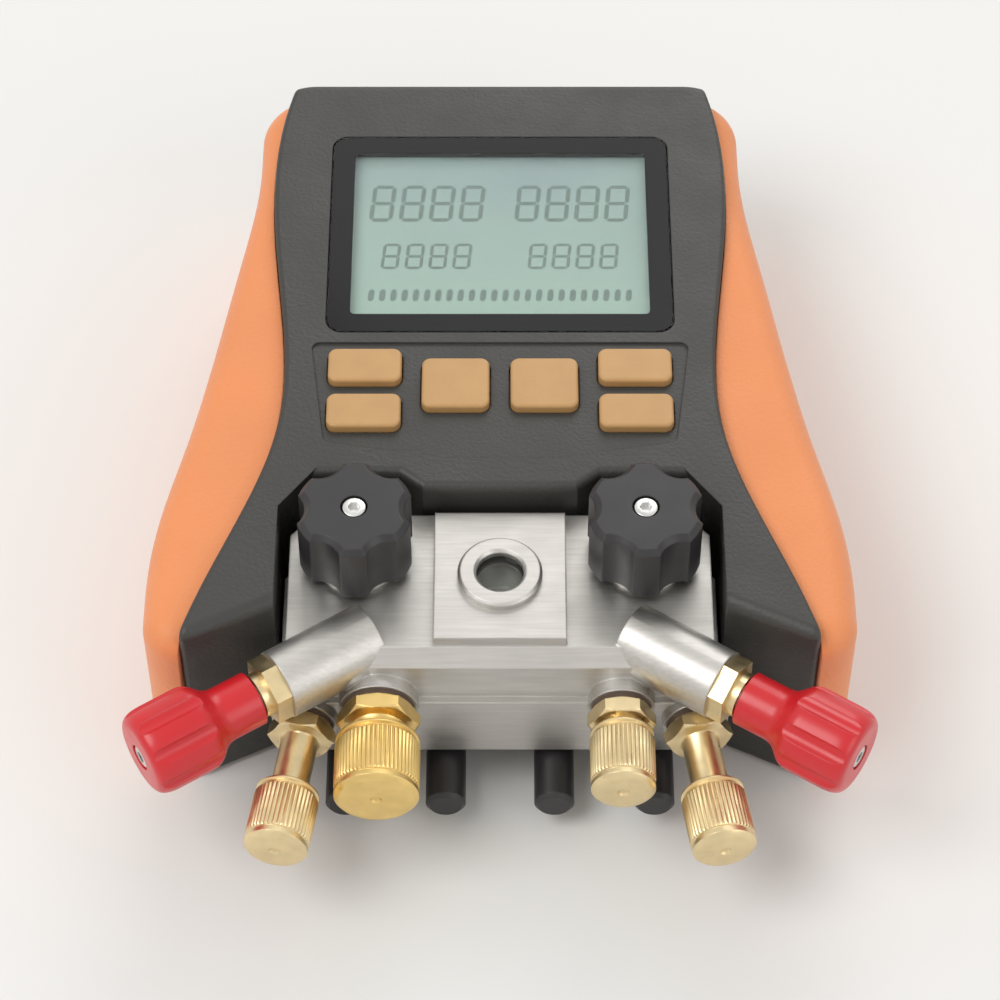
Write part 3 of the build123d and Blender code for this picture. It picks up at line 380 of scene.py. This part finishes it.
# ---------------------------------------------------------------- mesh helpers
def object_from(mesh, name):
    """An object from a finished bmesh, shaded smooth apart from its sharp edges."""
    data = bpy.data.meshes.new(name)
    mesh.to_mesh(data)
    mesh.free()
    data.shade_smooth()
    data.set_sharp_from_angle(angle=radians(SHARP_ANGLE))
    piece = bpy.data.objects.new(name, data)
    bpy.context.scene.collection.objects.link(piece)
    return piece


def loft(name, loops, closed=False):
    """A mesh through loops of points.

    A loop of one point is an apex; closed joins the last loop to the first.
    """
    mesh = bmesh.new()
    rings = [[mesh.verts.new(point) for point in loop] for loop in loops]
    pairs = list(zip(rings, rings[1:]))
    if closed:
        pairs.append((rings[-1], rings[0]))
    for low, high in pairs:
        count = max(len(low), len(high))
        for i in range(count):
            j = (i + 1) % count
            if len(low) == 1:
                corners = (low[0], high[j], high[i])
            elif len(high) == 1:
                corners = (low[i], low[j], high[0])
            else:
                corners = (low[i], low[j], high[j], high[i])
            mesh.faces.new(corners)
    bmesh.ops.recalc_face_normals(mesh, faces=mesh.faces)
    return object_from(mesh, name)


def polar(name, stations, segments, closed=False):
    """A mesh round the local Z axis from stations of height and radius, in mm.

    A radius may be a function of the angle.
    """
    loops = []
    for height, radius in stations:
        if radius == 0:
            loops.append([Vector((0, 0, height * MM))])
            continue
        loop = []
        for i in range(segments):
            angle = tau * i / segments
            reach = radius(angle) if callable(radius) else radius
            loop.append(Vector((reach * cos(angle), reach * sin(angle), height)) * MM)
        loops.append(loop)
    return loft(name, loops, closed)


def rounded_loop(x, y, z, width, height, corner, steps=6):
    """The points of a rectangle with round corners, level at z, in mm."""
    points = []
    for quarter, (sx, sy) in enumerate(((1, 1), (-1, 1), (-1, -1), (1, -1))):
        cx, cy = x + sx * (width / 2 - corner), y + sy * (height / 2 - corner)
        for i in range(steps + 1):
            angle = pi / 2 * (quarter + i / steps)
            points.append(Vector((cx + corner * cos(angle), cy + corner * sin(angle), z)) * MM)
    return points


def stand(piece, place, axis):
    """Turns a piece's local Z along an axis and moves it to its place, inside its mesh."""
    z = Vector(axis).normalized()
    upright = abs(z.z) > 0.9
    up = Vector((0, 1, 0)) if upright else Vector((0, 0, 1))
    x = up.cross(z).normalized()
    turn = Matrix((x, z.cross(x), z)).transposed().to_4x4()
    piece.data.transform(Matrix.Translation(place) @ turn)
    return piece


def join_meshes(name, pieces):
    """One object from several, which are removed."""
    mesh = bmesh.new()
    for piece in pieces:
        mesh.from_mesh(piece.data)
        bpy.data.objects.remove(piece)
    return object_from(mesh, name)


def finished(piece, material, body, slot, *nodes):
    """Gives a piece its material and body, and hides the CAD nodes it stands for."""
    piece.data.materials.clear()
    piece.data.materials.append(material)
    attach(piece, body)
    if nodes:
        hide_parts(*nodes)
    return piece


def mount(name):
    return next(row for row in frame["record"]["mounts"] if row["name"] == name)


def joint(name):
    return next(row for row in frame["record"]["behaviour"]["joints"] if row["name"] == name)


def slot_of(node):
    """The record's material slot of a CAD node."""
    return next(row["material_slot"] for row in frame["record"]["subparts"] if row["node"] == node)


# ---------------------------------------------------------------- radii and bands of stations
HEX_CHAMFER, HEX_STEPS = 30, 4  # degrees of a hexagon's turned corners; steps that shape them
KNURL_POWER = 0.7  # under 1, so that the crests are narrower than the grooves
THREAD_STEPS = 8  # stations in one turn of a thread
THREAD_CREST, THREAD_FLANK = 0.12, 0.76  # shares of half a pitch


def hex_radius(flats, cone=FAR):
    """A hexagon's radius at each angle, with two flats facing along Y, cut by a chamfer cone."""
    def radius(angle):
        off = angle % (pi / 3) - pi / 6
        return min(flats / 2 / cos(off), cone)
    return radius


def cross_radius(reach, half_width):
    """The radius of a cross with square arms."""
    def radius(angle):
        off = abs((angle + pi / 4) % (pi / 2) - pi / 4)
        side = half_width / sin(off) if off > 1e-6 else FAR
        return min(reach / cos(off), side)
    return radius


def knurl_radius(outer, teeth, depth):
    """Straight grooves round a cylinder."""
    return lambda angle: outer - depth * (0.5 - 0.5 * cos(teeth * angle)) ** KNURL_POWER


def hexagon_band(flats, low, high):
    """The stations of a hexagon with its corners turned off at both ends."""
    corner = flats / sqrt(3)
    drop = (corner - flats / 2) * tan(radians(HEX_CHAMFER))
    band = []
    for i in range(HEX_STEPS + 1):
        share = i / HEX_STEPS
        cone = flats / 2 + (corner - flats / 2) * share
        band.append((low + drop * share, hex_radius(flats, cone)))
    return band + [(low + high - z, radius) for z, radius in reversed(band)]


def thread_band(low, high, crest, pitch, depth):
    """The stations of a screw thread that fades out over a turn at both ends."""
    step = pitch / THREAD_STEPS
    count = round((high - low) / step)
    band = []
    for i in range(count + 1):
        z = low + (high - low) * i / count
        high_fade = depth * max(0, 1 - (high - z) / pitch)
        low_fade = depth * max(0, 1 - (z - low) / pitch)
        limit = crest - high_fade - low_fade

        def radius(angle, z=z, limit=limit):
            share = abs(2 * ((z / pitch - angle / tau) % 1) - 1)
            form = min(1, max(0, (share - THREAD_CREST) / THREAD_FLANK))
            return min(crest - depth * form, limit)
        band.append((z, radius))
    return band


# ---------------------------------------------------------------- ports and caps, in mm
# A port's length from its boss to its flare's end, its thread's and its neck's radius, the width
# over its hexagon's flats, and its thread's pitch
Port = namedtuple("Port", "length thread_radius neck_radius flats pitch")
QUARTER_INCH = {"thread_radius": 5.556, "neck_radius": 4.4, "flats": 14.0, "pitch": 1.27}
PORTS = {
    "low": Port(33.5, **QUARTER_INCH),
    "high": Port(33.5, **QUARTER_INCH),
    "refrigerant": Port(21.0, **QUARTER_INCH),
    "vacuum": Port(23.0, thread_radius=7.938, neck_radius=6.0, flats=17.0, pitch=1.411),
}
ROUND_SEGMENTS = 72
STUB, STUB_RADIUS, STUB_CHAMFER = 9.0, 5.0, 0.4
PORT_SEAL, PORT_HEX = 1.2, 4.0
PORT_BORE, BORE_CHAMFER = 2.4, 0.2
NECK_FILLET = ((0.0, 1.0), (0.3, 0.3), (0.8, 0.0))  # distance past the hexagon, over the neck
THREAD_LENGTH, THREAD_RUNOUT, THREAD_DEPTH = 12.0, 0.6, 0.5  # the depth as a share of the pitch
FLARE_LENGTH, FLARE_DROP, FLARE_STEP, FLARE_CHAMFER = 3.0, 1.6, 0.1, 0.15
FLARE_FACE = 0.25  # the flat end's share of the flare's width

CAP_CLEARANCE, CAP_WALL, CAP_INNER_CHAMFER = 0.07, 2.0, 0.4
CAP_END, CAP_COVER, CAP_END_GAP = 2.0, 14.5, 0.3
CAP_MOUTH_CHAMFER = 0.3
CAP_TEETH_PER_MM = 6  # of the cap's radius
KNURL_DEPTH, KNURL_SEGMENTS = 0.42, 6  # segments to a tooth
KNURL_FROM_MOUTH, KNURL_FROM_END = 2.3, 3.4
# The cap's outside, as distance from its mouth or its end and depth under its full radius
CAP_MOUTH_TURNING = ((0.0, 0.7), (0.5, 0.15), (0.9, 0.15), (1.2, 0.7), (1.6, 0.7), (1.9, 0.45))
CAP_END_TURNING = (
    (3.0, 0.45), (2.8, 0.7), (2.3, 0.7), (2.1, 0.1),
    (1.1, 0.1), (0.35, 0.85), (0.1, 1.5), (0.0, 2.4),
)
CAP_DIMPLE = ((0.0, 1.4), (0.5, 0.9), (0.6, 0))  # depth under the cap's end, radius


def on_flare(piece, name):
    """Moves a piece to a port, with its local zero at the flare's end."""
    flare = mount(name + "_flare")
    return stand(piece, flare["pos_m"], flare["axis"])


def port_piece(name, port):
    """A flare fitting: stub, hexagon, neck, thread and flare, bored through."""
    low = -port.length
    depth = port.pitch * THREAD_DEPTH
    thread_high = -FLARE_LENGTH
    thread_low = thread_high - THREAD_LENGTH
    neck_low = low + PORT_SEAL + PORT_HEX
    neck = port.neck_radius
    flare = port.thread_radius - FLARE_DROP
    face = PORT_BORE + (flare - PORT_BORE) * FLARE_FACE
    stations = [
        (low - STUB, STUB_RADIUS - STUB_CHAMFER), (low - STUB + STUB_CHAMFER, STUB_RADIUS),
        (low + PORT_SEAL, STUB_RADIUS),
        *hexagon_band(port.flats, low + PORT_SEAL, neck_low),
        *[(neck_low + past, neck + over) for past, over in NECK_FILLET],
        (thread_low - THREAD_RUNOUT, neck), (thread_low, port.thread_radius - depth),
        *thread_band(thread_low, thread_high, port.thread_radius, port.pitch, depth),
        (thread_high + FLARE_STEP, flare),
        (-FLARE_CHAMFER, face), (0, face - FLARE_CHAMFER),
        (0, PORT_BORE + BORE_CHAMFER), (-BORE_CHAMFER, PORT_BORE), (low - STUB, PORT_BORE),
    ]
    piece = on_flare(polar(name + "_fitting", stations, ROUND_SEGMENTS, closed=True), name)
    own, slot = port_brass(name)
    return finished(piece, own, "housing", slot, name + "_port")


def cap_piece(name, port):
    """A knurled cap over the flare and its thread, with two turned grooves."""
    inner = port.thread_radius + CAP_CLEARANCE
    outer = inner + CAP_WALL
    low, high = CAP_END_GAP - CAP_COVER, CAP_END_GAP + CAP_END
    teeth = round(outer * CAP_TEETH_PER_MM)
    knurl = knurl_radius(outer, teeth, KNURL_DEPTH)
    stations = [
        (CAP_END_GAP, 0), (CAP_END_GAP, inner - CAP_INNER_CHAMFER),
        (CAP_END_GAP - CAP_INNER_CHAMFER, inner), (low + CAP_MOUTH_CHAMFER, inner),
        (low, inner + CAP_MOUTH_CHAMFER),
        *[(low + along, outer - depth) for along, depth in CAP_MOUTH_TURNING],
        (low + KNURL_FROM_MOUTH, knurl), (high - KNURL_FROM_END, knurl),
        *[(high - along, outer - depth) for along, depth in CAP_END_TURNING],
        *[(high - depth, radius) for depth, radius in CAP_DIMPLE],
    ]
    piece = on_flare(polar(name + "_flare_cap", stations, teeth * KNURL_SEGMENTS), name)
    own, slot = port_brass(name)
    return finished(piece, own, name + "_cap", slot, name + "_port_cap")


# ---------------------------------------------------------------- screws, in mm
# A head's radius and height, the shank's radius, and the recess's outline and depth
Screw = namedtuple("Screw", "head_radius head shank_radius recess depth")
KNOB_SCREW = Screw(2.8, 2.0, 1.5, hex_radius(2.6), 1.3)
HOUSING_SCREW = Screw(2.9, 2.4, 1.5, cross_radius(1.7, 0.42), 1.4)
BLOCK_SCREW = Screw(3.6, 2.6, 2.0, hex_radius(3.4), 1.4)
HEAD_RIM, SHANK_CHAMFER = 0.35, 0.3
KNOB_SHANK = 8.0
FRONT_KNOB_HIGH, SIDE_KNOB_HIGH, KNOB_RECESS = 17.8, 36.8, 2.2
SCREW_REACH = 6.0  # vertices nearer than this belong to one screw


def screw_head(name, screw, shank):
    """A screw whose head stands on z = 0, with its shank below and a recess in its top."""
    head, edge, radius = screw.head, screw.head_radius, screw.shank_radius
    stations = [
        (-shank, 0), (-shank, radius - SHANK_CHAMFER), (-shank + SHANK_CHAMFER, radius),
        (0, radius), (0, edge), (head - HEAD_RIM, edge),
        (head - HEAD_RIM / 3, edge - HEAD_RIM / 3), (head, edge - HEAD_RIM), (head, screw.recess),
        (head - screw.depth, screw.recess), (head - screw.depth, 0),
    ]
    return polar(name, stations, ROUND_SEGMENTS)


def knob_screw_piece(name):
    """The screw in the end of a handwheel, seated in its recess."""
    turn = joint(name + "_valve_turn")
    high = SIDE_KNOB_HIGH if name in SIDE_VALVES else FRONT_KNOB_HIGH
    screw = screw_head(name + "_wheel_screw", KNOB_SCREW, KNOB_SHANK)
    place = Vector(turn["pos_m"]) + Vector(turn["axis"]) * (high - KNOB_RECESS) * MM
    stand(screw, place, turn["axis"])
    return finished(screw, bright_steel, name + "_handwheel", "screw_steel", name + "_knob_screw")


def spots(node):
    """The middles, seen along Z, of the separate upright solids in a CAD node."""
    reach = SCREW_REACH * MM
    boxes = []
    for vertex in frame["nodes"][node].data.vertices:
        x, y = vertex.co.x, vertex.co.y
        for box in boxes:
            if abs(x - box[0]) < reach and abs(y - box[2]) < reach:
                box[0:4] = min(x, box[0]), max(x, box[1]), min(y, box[2]), max(y, box[3])
                break
        else:
            boxes.append([x, x, y, y])
    return [((x0 + x1) / 2, (y0 + y1) / 2) for x0, x1, y0, y1 in boxes]


def back_screws(node, screw):
    """The screws of one kind, driven in from the back."""
    low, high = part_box(node)
    seat = low[2] + screw.head * MM
    shank = (high[2] - seat) / MM
    screws = []
    for i, (x, y) in enumerate(spots(node)):
        screws.append(stand(screw_head(f"{node}_{i}", screw, shank), (x, y, seat), (0, 0, -1)))
    whole = join_meshes(node + "_set", screws)
    return finished(whole, dark_steel, "housing", "screw_steel", node)


# ---------------------------------------------------------------- display, in mm
SCREEN_W, SCREEN_H = 76.0, 56.0
BORDER_GAP, BORDER_INSET = 0.6, 1.6  # off the window's width and off the screen's
BORDER_CORNER, BORDER_INNER_CORNER = 3.7, 1.2
BORDER_UNDER, BORDER_OVER = 0.03, 0.02  # under and over the window's front
MARK_GAP, MARK_THICK = 0.02, 0.03
DIGIT_SLANT = 0.09
BAR_SPREAD, BAR_LENGTH = 1.06, 0.94  # of a digit's upright bars
# A reading's place above the screen's middle, its digits' pitch and size, and their bars' width
Reading = namedtuple("Reading", "y pitch width height thick")
READINGS = (Reading(12, 7.6, 5.8, 12.5, 1.15), Reading(-6, 6.0, 4.4, 8.6, 0.85))
READING_X, DIGITS = 18.5, 4
SCALE_Y, SCALE_PITCH, SCALE_MARKS, SCALE_HEIGHT, SCALE_THICK = -19, 2.8, 24, 4.2, 1.5


def screen_centre():
    low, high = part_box("display_lens")
    return (low[0] + high[0]) / 2 / MM, (low[1] + high[1]) / 2 / MM


def window_border():
    """The black print round the window, which frames the display."""
    low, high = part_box("display_lens")
    x, y = screen_centre()
    w, h = (high[0] - low[0]) / MM - BORDER_GAP, (high[1] - low[1]) / MM - BORDER_GAP
    z0, z1 = high[2] / MM - BORDER_UNDER, high[2] / MM + BORDER_OVER
    inner_w, inner_h = SCREEN_W - BORDER_INSET, SCREEN_H - BORDER_INSET
    loops = [
        rounded_loop(x, y, z0, w, h, BORDER_CORNER),
        rounded_loop(x, y, z1, w, h, BORDER_CORNER),
        rounded_loop(x, y, z1, inner_w, inner_h, BORDER_INNER_CORNER),
        rounded_loop(x, y, z0, inner_w, inner_h, BORDER_INNER_CORNER),
    ]
    border = loft("window_border", loops, closed=True)
    return finished(border, border_print, "housing", slot_of("display_lens"))


def segment(x, y, z, length, thick, upright):
    """One bar of a slanted digit: a long hexagon."""
    half, side = length / 2, thick / 2
    outline = [
        (-half, 0), (-half + side, side), (half - side, side),
        (half, 0), (half - side, -side), (-half + side, -side),
    ]
    if upright:
        outline = [(-v, u) for u, v in outline]
    loops = []
    for level in (z, z + MARK_THICK):
        loops.append(
            [Vector((x + u + DIGIT_SLANT * (y + v), y + v, level)) * MM for u, v in outline]
        )
    middle = Vector((x + DIGIT_SLANT * y, y, 0)) * MM
    bottom, top = middle.copy(), middle.copy()
    bottom.z, top.z = z * MM, (z + MARK_THICK) * MM
    return loft("segment", [[bottom], *loops, [top]])


def digit(x, y, z, width, height, thick):
    """The seven bars of a digit, all faint, as on a display that is off."""
    w, h = width - thick, height / 2 - thick / 2
    bars = [segment(x, y + k * h, z, w, thick, False) for k in (-1, 0, 1)]
    for sx in (-1, 1):
        for sy in (-1, 1):
            side = x + sx * w / 2 * BAR_SPREAD
            bars.append(segment(side, y + sy * h / 2, z, h * BAR_LENGTH, thick, True))
    return bars


def display_marks():
    """Two large and two small readings and a row of scale marks, all unlit."""
    x0, y0 = screen_centre()
    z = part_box("lcd_panel")[1][2] / MM + MARK_GAP
    bars = []
    for side in (-1, 1):
        for row in READINGS:
            y = y0 + row.y
            for i in range(DIGITS):
                across = side * READING_X + (i - (DIGITS - 1) / 2) * row.pitch
                x = x0 + across - DIGIT_SLANT * y
                bars += digit(x, y, z, row.width, row.height, row.thick)
    y = y0 + SCALE_Y
    for i in range(SCALE_MARKS):
        x = x0 + (i - (SCALE_MARKS - 1) / 2) * SCALE_PITCH - DIGIT_SLANT * y
        bars.append(segment(x, y, z, SCALE_HEIGHT, SCALE_THICK, True))
    return finished(join_meshes("display_marks", bars), lcd_ink, "housing", slot_of("lcd_panel"))


# ---------------------------------------------------------------- battery door and cells, in mm
RIBS, RIB_START, RIB_PITCH, RIB_LENGTH, RIB_TAPER = 5, 11.5, 2.2, 26, 2.5
# Each level of a rib: its height from the door's face, what it is shorter by, width, corner
RIB_LEVELS = ((0.1, 0, 1.2, 0.55), (-0.15, 0.2, 1.0, 0.45), (-0.25, 0.7, 0.5, 0.2))
CELL_COUNT, CELL_SEGMENTS = 4, 48
CELL_NUB, CELL_NUB_RADIUS, CELL_FILM = 1.0, 2.6, 0.2
# The sleeve's outside, as distance from its flat end or its shoulder and depth under its radius
SLEEVE_FOOT = ((0.0, 0.9), (0.1, 0.3), (0.5, 0.0))
SLEEVE_CRIMP = ((0.6, 0.0), (0.1, 0.3), (0.0, 1.1), (0.2, 1.1))
CAN_DISH = ((0.25, 0), (0.25, 3.6), (0.1, 4.0))  # height, radius


def door_ribs():
    """Finger ribs on the battery door beside its notch."""
    low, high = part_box("battery_door")
    z = low[2] / MM
    middle = (low[0] + high[0]) / 2 / MM
    ribs = []
    for i in range(RIBS):
        y = high[1] / MM - RIB_START - RIB_PITCH * i
        length = RIB_LENGTH - RIB_TAPER * i
        loops = [
            rounded_loop(middle, y, z + level, length - less, width, corner, steps=3)
            for level, less, width, corner in RIB_LEVELS
        ]
        ends = [[sum(loop, Vector()) / len(loop)] for loop in (loops[0], loops[-1])]
        ribs.append(loft("rib", [ends[0], *loops, ends[1]]))
    return finished(join_meshes("door_ribs", ribs), core, "battery_door", slot_of("battery_door"))


def cell_parts(name, radius, length):
    """The sleeve and the can of one cell, which stands on its flat end."""
    shoulder = length - CELL_NUB
    inner = radius - CELL_FILM
    sleeve = [
        *[(height, radius - depth) for height, depth in SLEEVE_FOOT],
        *[(shoulder - under, radius - depth) for under, depth in SLEEVE_CRIMP],
        (shoulder - 0.6, inner), (0.5, inner), (0.2, radius - 0.9),
    ]
    can = [
        *CAN_DISH, (0.1, inner - 1.0), (0.6, inner - 0.1),
        (shoulder - 0.7, inner - 0.1), (shoulder - 0.25, inner - 0.9),
        (shoulder - 0.5, inner - 1.6), (shoulder - 0.5, CELL_NUB_RADIUS + 0.5),
        (shoulder - 0.2, CELL_NUB_RADIUS), (length - 0.3, CELL_NUB_RADIUS),
        (length - 0.05, CELL_NUB_RADIUS - 0.3), (length - 0.05, 0),
    ]
    return (
        polar(name + "_sleeve", sleeve, CELL_SEGMENTS, closed=True),
        polar(name + "_can", can, CELL_SEGMENTS),
    )


def cells():
    """Four cells side by side, every second one the other way round."""
    low, high = (Vector(corner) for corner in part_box("batteries"))
    radius = (high.z - low.z) / 2
    sleeves, cans = [], []
    for i in range(CELL_COUNT):
        x = low.x + radius + (high.x - low.x - 2 * radius) * i / (CELL_COUNT - 1)
        start, way = (low.y, 1) if i % 2 == 0 else (high.y, -1)
        parts = cell_parts(f"cell_{i}", radius / MM, (high.y - low.y) / MM)
        for part, group in zip(parts, (sleeves, cans)):
            group.append(stand(part, (x, start, low.z + radius), (0, way, 0)))
    for name, group, material, node in (
        ("cell_sleeves", sleeves, sleeve_film, "batteries"),
        ("cell_cans", cans, bright_steel, "battery_contacts"),
    ):
        finished(join_meshes(name, group), material, "housing", slot_of(node), "batteries")


# ---------------------------------------------------------------- all the pieces
def dress_frame():
    """Adds the pieces that the CAD leaves to the finish."""
    for name, port in PORTS.items():
        port_piece(name, port)
        cap_piece(name, port)
        knob_screw_piece(name)
    back_screws("housing_screws", HOUSING_SCREW)
    back_screws("block_screws", BLOCK_SCREW)
    window_border()
    display_marks()
    door_ribs()
    cells()


dress_frame()


# ---------------------------------------------------------------- floor, light and camera, in m
FLOOR_SIZE, FLOOR_GAP = 6.0, 0.00005
FADE_NEAR, FADE_FAR = 0.35, 0.9
PALE = srgb(236, 235, 232)
WORLD_LIGHT = 0.55
LAMP_TARGET = (0, 0, 0.03)
# Each lamp's place, the width of its disc, and its power in watts
LAMPS = {
    "key": ((-0.9, -0.5, 1.5), 1.1, 14),
    "fill": ((1.2, -0.9, 0.9), 1.2, 5),
    "back": ((0.3, 1.4, 1.1), 1.2, 8),
}
CAMERA_PLACE, CAMERA_TARGET = (0.0, -0.503, 0.677), (0.0, -0.008, 0.030)
CAMERA_LENS, CAMERA_SENSOR, CAMERA_CLIP = 118, 36, 0.01  # mm, mm, m


def seen(nodes, links):
    """1 on rays that see the background directly, in metal or through glass, and 0 on the rest."""
    path = nodes.new("ShaderNodeLightPath")
    total = path.outputs["Is Camera Ray"]
    for name in ("Is Glossy Ray", "Is Transmission Ray"):
        most = nodes.new("ShaderNodeMath")
        most.operation = "MAXIMUM"
        links.new(total, most.inputs[0])
        links.new(path.outputs[name], most.inputs[1])
        total = most.outputs["Value"]
    return total


def fade_out(finish, near, far):
    """Lets the floor run into the pale background, away from the gauge and its shadow."""
    length = finish.add("ShaderNodeVectorMath", operation="LENGTH")
    finish.join(finish.place, length.inputs[0])
    share = finish.add("ShaderNodeMath", operation="MULTIPLY")
    finish.join(finish.spread(length.outputs["Value"], 0, 1, near, far), share.inputs[0])
    finish.join(seen(finish.nodes, finish.links), share.inputs[1])
    glow = finish.add("ShaderNodeEmission")
    glow.inputs["Color"].default_value = PALE
    mix = finish.add("ShaderNodeMixShader")
    finish.join(share.outputs["Value"], mix.inputs[0])
    finish.join(finish.shader.outputs["BSDF"], mix.inputs[1])
    finish.join(glow.outputs["Emission"], mix.inputs[2])
    finish.join(mix.outputs["Shader"], finish.nodes["Material Output"].inputs["Surface"])
    return finish


def floor():
    """A plane just under the gauge, so that the two never share a face."""
    bpy.ops.mesh.primitive_plane_add(size=FLOOR_SIZE, location=(0, 0, -FLOOR_GAP))
    plane = bpy.context.object
    plane.name = "floor"
    finish = Finish("floor", PALE, roughness=0.6).mottle(400, share=0.97, amount=0.5)
    plane.data.materials.append(fade_out(finish, FADE_NEAR, FADE_FAR).material)


def aim(obj, place, target):
    obj.location = place
    obj.rotation_euler = (Vector(target) - Vector(place)).to_track_quat("-Z", "Y").to_euler()


def lamp(name, place, size, power):
    """A round lamp that shines on the gauge."""
    data = bpy.data.lights.new(name, "AREA")
    data.shape = "DISK"
    data.size = size
    data.energy = power
    obj = bpy.data.objects.new(name, data)
    bpy.context.scene.collection.objects.link(obj)
    aim(obj, place, LAMP_TARGET)


def world():
    """Even light from all round, which camera, metal and glass see as the pale background."""
    scene_world = bpy.data.worlds.new("studio")
    bpy.context.scene.world = scene_world
    scene_world.use_nodes = True
    nodes, links = scene_world.node_tree.nodes, scene_world.node_tree.links
    light = nodes["Background"]
    light.inputs["Color"].default_value = WHITE
    light.inputs["Strength"].default_value = WORLD_LIGHT
    backdrop = nodes.new("ShaderNodeBackground")
    backdrop.inputs["Color"].default_value = PALE
    mix = nodes.new("ShaderNodeMixShader")
    links.new(seen(nodes, links), mix.inputs[0])
    links.new(light.outputs["Background"], mix.inputs[1])
    links.new(backdrop.outputs["Background"], mix.inputs[2])
    links.new(mix.outputs["Shader"], nodes["World Output"].inputs["Surface"])


def camera():
    """Looks from the photographer's side, with a longer lens that frames only the gauge."""
    data = bpy.data.cameras.new("camera")
    data.sensor_width = CAMERA_SENSOR
    data.lens = CAMERA_LENS
    data.clip_start = CAMERA_CLIP
    obj = bpy.data.objects.new("camera", data)
    bpy.context.scene.collection.objects.link(obj)
    aim(obj, CAMERA_PLACE, CAMERA_TARGET)
    bpy.context.scene.camera = obj


def studio():
    bpy.context.scene.view_settings.view_transform = "Standard"
    floor()
    world()
    for name, (place, size, power) in LAMPS.items():
        lamp(name, place, size, power)
    camera()


studio()
